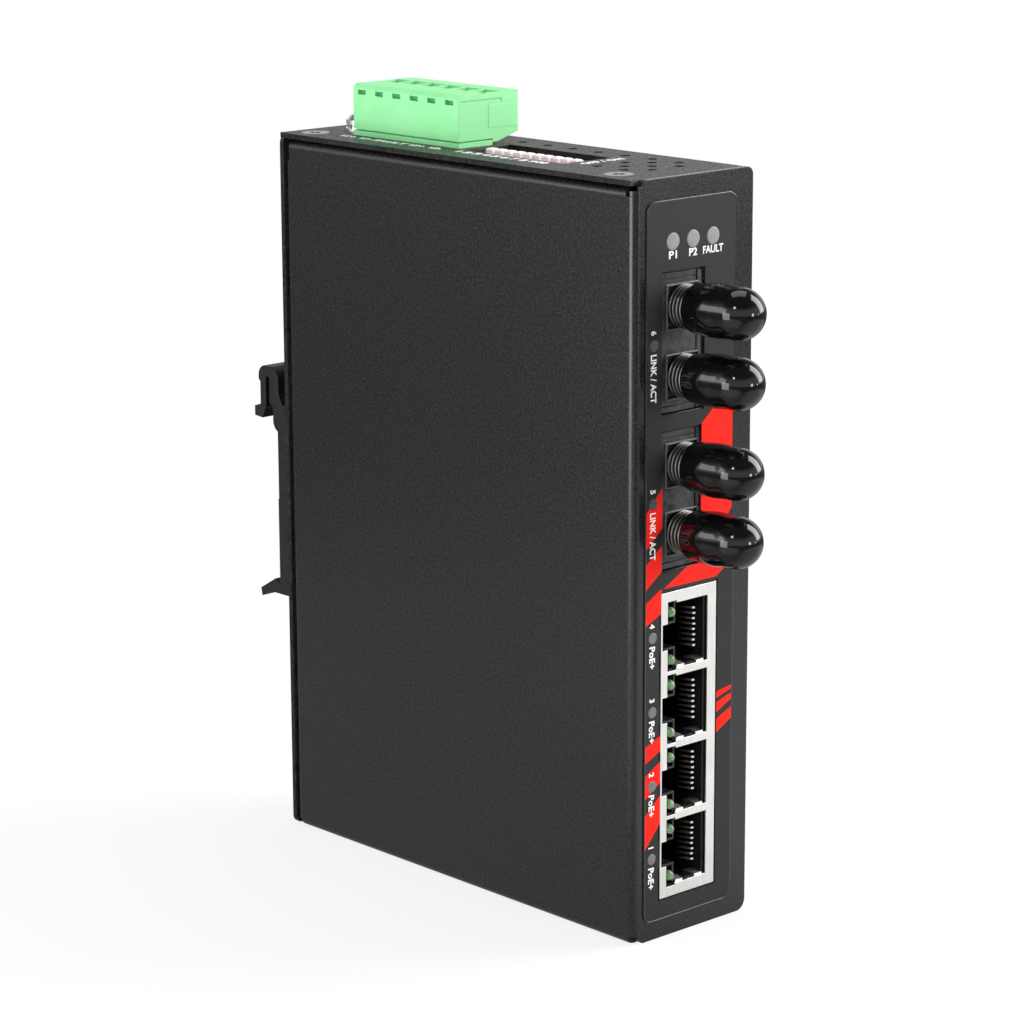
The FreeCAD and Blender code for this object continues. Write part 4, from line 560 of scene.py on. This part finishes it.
def dust_cap(number, z, tilt):
    """Dipped cap: inner wall to the open end, a rolled lip, a skirt that swells to its middle and dips to a
    waist, and a round end; the skirt is pulled a little out of round by two waves round the axis, with two
    and three crests, which die away towards both of its ends as half a sine wave."""
    body = np.linspace(SKIRT_START, 1, SKIRT_STEPS)
    skirt = CAP_MOUTH + soft_steps(np.array(CAP_STATIONS), np.array(CAP_SWELL), body)
    lip_turn = np.linspace(np.pi, 0, LIP_STEPS)
    lip = (CAP_MOUTH + CAP_SWELL[0] - CAP_BORE) / 2
    dome_turn = np.linspace(0, np.pi / 2, DOME_STEPS)[1:]
    dome = CAP_MOUTH + CAP_SWELL[-1]
    along = np.concatenate(([CAP_HOLLOW, CAP_HOLLOW, CAP_INNER_RING], lip * (1 - np.sin(lip_turn)),
                            body[1:] * CAP_BODY, CAP_BODY + dome * np.sin(dome_turn)))
    radius = np.concatenate(([0, CAP_BORE, CAP_BORE], CAP_BORE + lip * (1 + np.cos(lip_turn)), skirt[1:],
                             dome * np.cos(dome_turn)))
    points, faces = turned(along, radius, ROUND_STEPS)
    angle = np.arctan2(points[:, 2], points[:, 0])
    share = np.clip(-points[:, 1] / CAP_BODY, 0, 1)
    waves = CAP_WAVES[0] * np.cos(2 * angle + number) + CAP_WAVES[1] * np.cos(3 * angle - 2 * number)
    pull = np.sin(np.pi * share) * waves
    outside = np.hypot(points[:, 0], points[:, 2]) > CAP_BORE + CAP_WALL
    points[:, [0, 2]] *= (1 + pull * outside)[:, None]
    lean = math.radians(-tilt)
    turn = np.array([[1, 0, 0], [0, math.cos(lean), -math.sin(lean)], [0, math.sin(lean), math.cos(lean)]])
    place = (RECEPTACLE_X, MODULE_FACE - CAP_START, z)
    made = piece(f"cap_{number}", points @ turn.T + place, faces, FINISHES["cap_vinyl"])
    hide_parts(f"dust_cap_{number}")


for number, (height, tilt) in enumerate(zip(RECEPTACLES, CAP_TILTS), 1):
    receptacle(number, height)
    pocket_bead(number, height)
    dust_cap(number, height, tilt)

# Lid edges of the transceivers, paler as a painted highlight, and the ends of the folds at the left panel's
# upper corner
for number, middle in enumerate(MODULE_MIDDLES, 1):
    slab(f"lid_edge_{number}", (LID_EDGE[0], MODULE_FACE - LID_RISE, middle - MODULE_HALF + LID_END),
         (LID_EDGE[1], MODULE_FACE + LID_ROOT, middle + MODULE_HALF - LID_END), PAINTED_HIGHLIGHT_PLASTIC)
quarter_fold("upright_fold_end", FOLD_CORNER, (-1, 0, 0), (0, -1, 0), (0, 0, FOLD_RISE))
quarter_fold("upper_fold_end", (FOLD_CORNER[0], FLANGE_START, FOLD_CORNER[2]), (0, 0, 1), (-1, 0, 0),
             (0, -FLANGE_REACH, 0))

# Painted shade sheets in the probe slots of the terminal plug, and the end of the top wall over the back wall
half_slot = np.array(SLOT_SIZE) / 2
for number, y in enumerate(POLE_ROWS, 1):
    slab(f"slot_shade_sheet_{number}", (SLOT_FLOOR - SLOT_RISE, y - half_slot[0], SLOT_Z - half_slot[1]),
         (SLOT_FLOOR + SLOT_ROOT, y + half_slot[0], SLOT_Z + half_slot[1]), SLOT_PAINTED_SHADE)
slab("top_wall_end", (-WALL_END_HALF, WALL_END_START, TOP_FACE - WALL_END_DROP),
     (WALL_END_HALF, BACK_FACE, TOP_FACE + WALL_END_RISE), COARSE_COAT)

# Print on the film: slanted red fields within its cut edge
film_rim()
RED_FIELDS = {
    "right_high": [(1.9, 80.2), (9.0, 78.4), (10.0, 79.4), (10.0, 98.6), (4.6, 98.6), (1.9, 96.4)],
    "over_jack": [(-7.6, 67.0), (6.0, 67.0), (8.7, 68.6), (6.0, 70.2), (-1.6, 70.2)],
    "left_1": [(-12.2, 75.0), (-8.1, 78.4), (-8.1, 85.9), (-12.2, 81.6)],
    "left_2": [(-12.2, 67.4), (-8.1, 70.4), (-8.1, 75.2), (-12.2, 72.1)],
    "left_3": [(-12.2, 60.7), (-8.1, 62.5), (-8.1, 67.2), (-12.2, 64.9)],
    "left_4": [(-12.2, 34.6), (-7.9, 36.6), (-7.9, 39.4), (-12.2, 37.8)],
    "left_5": [(-12.2, 27.7), (-8.2, 30.4), (-7.9, 34.6), (-12.2, 32.2)],
    "left_6": [(-12.2, 17.9), (-7.9, 22.8), (-7.9, 28.2), (-12.2, 24.5)],
    "bar_1": [(6.5, 43.6), (10.45, 44.7), (10.45, 45.4), (6.5, 44.8)],
    "bar_2": [(6.5, 40.8), (10.45, 42.7), (10.45, 43.9), (6.5, 42.7)],
    "bar_3": [(6.5, 36.9), (10.45, 39.0), (10.45, 41.2), (6.5, 39.5)],
}
for label, outline in RED_FIELDS.items():
    red_print("red_field_" + label, outline)

# Windows and legends on the film
RIGHT = (1, 0, 0)
UP = (0, 0, 1)
DOWN = (0, 0, -1)
FRONTWARD = (0, -1, 0)
BACKWARD = (0, 1, 0)
for number, (x, (words, length)) in enumerate(zip(STATUS_PLACES, STATUS_WORDS), 1):
    round_window(f"status_window_{number}", x, STATUS_Z, STATUS_RADIUS, STATUS_FILM)
    legend(f"status_words_{number}", words, STATUS_WORDS_HEIGHT, (x, FILM_FACE, STATUS_WORDS_Z), RIGHT, UP,
           length)
for number, z in enumerate(PORT_HEIGHTS, 1):
    fibre = number > COPPER_PORTS
    film = FIBRE_FILM if fibre else PORT_FILM
    round_window(f"port_window_{number}", PORT_WINDOW_X, z, PORT_RADIUS, film)
    legend(f"port_number_{number}", str(number), PORT_NUMBER_HEIGHT,
           (PORT_WORDS_X, FILM_FACE, z + PORT_NUMBER_RISE), DOWN, RIGHT)
    words, length = FIBRE_WORDS if fibre else COPPER_WORDS
    legend(f"port_words_{number}", words, PORT_WORDS_HEIGHT,
           (PORT_WORDS_X, FILM_FACE, z - PORT_WORDS_DROP - length / 2), DOWN, RIGHT, length)

# Legends on the top wall
for number, y in enumerate(SWITCH_ROWS[::-1], 1):
    length = SWITCH_NUMBER_LENGTHS.get(number, SWITCH_NUMBER_LENGTH)
    legend(f"switch_number_{number}", str(number), SWITCH_NUMBER_HEIGHT,
           (SWITCH_NUMBER_X, y + SWITCH_NUMBER_SHIFT, TOP_FACE), FRONTWARD, RIGHT, length, NUMBER_WEIGHT)
words, length = SWITCH_SIDES
legend("switch_sides", words, SWITCH_SIDES_HEIGHT, (*SWITCH_SIDES_PLACE, TOP_FACE), RIGHT, BACKWARD, length,
       WALL_WEIGHT)
for number, (words, y) in enumerate(TERMINAL_WORDS, 1):
    legend(f"terminal_words_{number}", words, TERMINAL_WORDS_HEIGHT, (TERMINAL_WORDS_X, y, TOP_FACE),
           FRONTWARD, RIGHT, TERMINAL_WORDS_LENGTH, WALL_WEIGHT)


# Floor and light
def studio_floor():
    """White floor: a plain diffuse sheet for the light that falls on it, which the camera sees as white
    with the shadow kept near the part; in reflections it is pale in pools round the part, each of its own
    strength, and dims away from them."""
    corners = np.array([(-1, -1, 0), (1, -1, 0), (1, 1, 0), (-1, 1, 0)]) * FLOOR_REACH
    mesh = bpy.data.meshes.new("floor")
    mesh.from_pydata(corners.tolist(), [], [(0, 1, 2, 3)])
    paint = bpy.data.materials.new("white_studio_paint")
    paint.use_nodes = True
    tree = paint.node_tree
    tree.nodes.clear()
    place = add(tree, "TexCoord").outputs["Object"]
    away = add(tree, "VectorMath", {0: place}, operation="LENGTH").outputs["Value"]
    white = add(tree, "MapRange", {"Value": away, "From Min": SHADOW_REACH[0], "From Max": SHADOW_REACH[1],
                                   "To Min": SHADOW_WHITE[0], "To Max": SHADOW_WHITE[1]})
    near = 0.0
    for middle, strength in POOLS:
        astray = add(tree, "VectorMath", {0: place, 1: middle}, operation="DISTANCE").outputs["Value"]
        pool = add(tree, "MapRange", {"Value": astray, "From Min": POOL_EDGE[0], "From Max": POOL_EDGE[1],
                                      "To Min": strength, "To Max": POOL_FAR},
                   interpolation_type="SMOOTHSTEP")
        near = add(tree, "Math", {0: near, 1: pool.outputs[0]}, operation="MAXIMUM").outputs[0]
    path = add(tree, "LightPath").outputs
    share = add(tree, "Math", {0: path["Is Camera Ray"], 1: white.outputs[0]}, operation="MULTIPLY")
    mirrored = add(tree, "Math", {0: path["Is Glossy Ray"], 1: path["Is Transmission Ray"]},
                   operation="MAXIMUM")
    matt = add(tree, "BsdfDiffuse", {"Color": linear("#f4f4f4")})
    glow = add(tree, "Emission", {"Color": linear("#ffffff"), "Strength": 1.0})
    sheet = add(tree, "MixShader", {0: share.outputs[0], 1: matt.outputs[0], 2: glow.outputs[0]})
    image = add(tree, "Emission", {"Color": linear("#ffffff"), "Strength": near})
    mixed = add(tree, "MixShader", {0: mirrored.outputs[0], 1: sheet.outputs[0], 2: image.outputs[0]})
    add(tree, "OutputMaterial", {"Surface": mixed.outputs[0]})
    mesh.materials.append(paint)
    floor = bpy.data.objects.new("floor", mesh)
    bpy.context.scene.collection.objects.link(floor)


def studio_world():
    """Even soft light for the part; the camera and reflections see a white backdrop that darkens overhead."""
    world = bpy.data.worlds.new("studio")
    bpy.context.scene.world = world
    world.use_nodes = True
    tree = world.node_tree
    tree.nodes.clear()
    place = add(tree, "TexCoord").outputs["Generated"]
    rise = add(tree, "SeparateXYZ", {0: place}).outputs["Z"]
    shade = add(tree, "MapRange", {"Value": rise, "From Min": BACKDROP_RISE[0],
                                   "From Max": BACKDROP_RISE[1], "To Min": 1.0, "To Max": BACKDROP_TOP},
                interpolation_type="SMOOTHSTEP")
    path = add(tree, "LightPath").outputs
    seen = add(tree, "Math", {0: path["Is Camera Ray"], 1: path["Is Glossy Ray"]}, operation="MAXIMUM")
    seen = add(tree, "Math", {0: seen.outputs[0], 1: path["Is Transmission Ray"]}, operation="MAXIMUM")
    even = add(tree, "Background", {"Color": linear("#ffffff"), "Strength": EVEN_LIGHT})
    backdrop = add(tree, "Background", {"Color": linear("#ffffff"), "Strength": shade.outputs[0]})
    mixed = add(tree, "MixShader", {0: seen.outputs[0], 1: even.outputs[0], 2: backdrop.outputs[0]})
    add(tree, "OutputWorld", {"Surface": mixed.outputs[0]})


def softbox(name, azimuth, rise, distance, size, level):
    """Rectangular lamp round the part's middle that faces it.

    Its place is distance * (sin a cos r, -cos a cos r, sin r) from the middle, and its power is
    level * (pi * distance) ** 2, which shows a surface that faces it at that share of its own colour.
    """
    side = math.radians(azimuth)
    height = math.radians(rise)
    away = Vector((math.sin(side) * math.cos(height), -math.cos(side) * math.cos(height), math.sin(height)))
    lamp = bpy.data.lights.new(name, "AREA")
    lamp.shape = "RECTANGLE"
    lamp.size, lamp.size_y = size
    lamp.energy = level * (math.pi * distance) ** 2
    made = bpy.data.objects.new(name, lamp)
    made.location = Vector(MIDDLE) + away * distance
    made.rotation_euler = (-away).to_track_quat("-Z", "Y").to_euler()
    bpy.context.scene.collection.objects.link(made)


studio_floor()
studio_world()
softbox("left_softbox", azimuth=-98, rise=0, distance=0.35, size=(0.22, 0.16), level=0.5)
softbox("left_rear_softbox", azimuth=-118, rise=15, distance=0.7, size=(0.36, 0.22), level=0.18)
softbox("left_spot", azimuth=-67, rise=35, distance=0.7, size=(0.09, 0.09), level=0.12)
softbox("front_spot", azimuth=10, rise=4, distance=0.7, size=(0.1, 0.1), level=0.12)
softbox("front_right_spot", azimuth=37, rise=2, distance=0.7, size=(0.05, 0.05), level=0.02)
softbox("right_softbox", azimuth=60, rise=28, distance=0.6, size=(0.3, 0.55), level=1.2)
softbox("top_softbox", azimuth=137, rise=75, distance=0.8, size=(0.6, 0.5), level=0.32)


# Camera at the photograph's place
def studio_camera():
    """Camera turned by yaw about Z, then tilted down by its drop, then rolled about its own line of sight."""
    yaw, drop, roll = CAMERA_TURN
    camera = bpy.data.cameras.new("camera")
    camera.sensor_width = CAMERA_SENSOR
    camera.lens = CAMERA_LENS
    camera.clip_start = CAMERA_CLIP
    made = bpy.data.objects.new("camera", camera)
    turn = (Matrix.Rotation(math.radians(yaw), 4, "Z") @ Matrix.Rotation(math.radians(90 - drop), 4, "X")
            @ Matrix.Rotation(math.radians(roll), 4, "Z"))
    made.matrix_world = Matrix.Translation(CAMERA_PLACE) @ turn
    bpy.context.scene.collection.objects.link(made)
    bpy.context.scene.camera = made


studio_camera()
bpy.context.scene.view_settings.view_transform = "Standard"
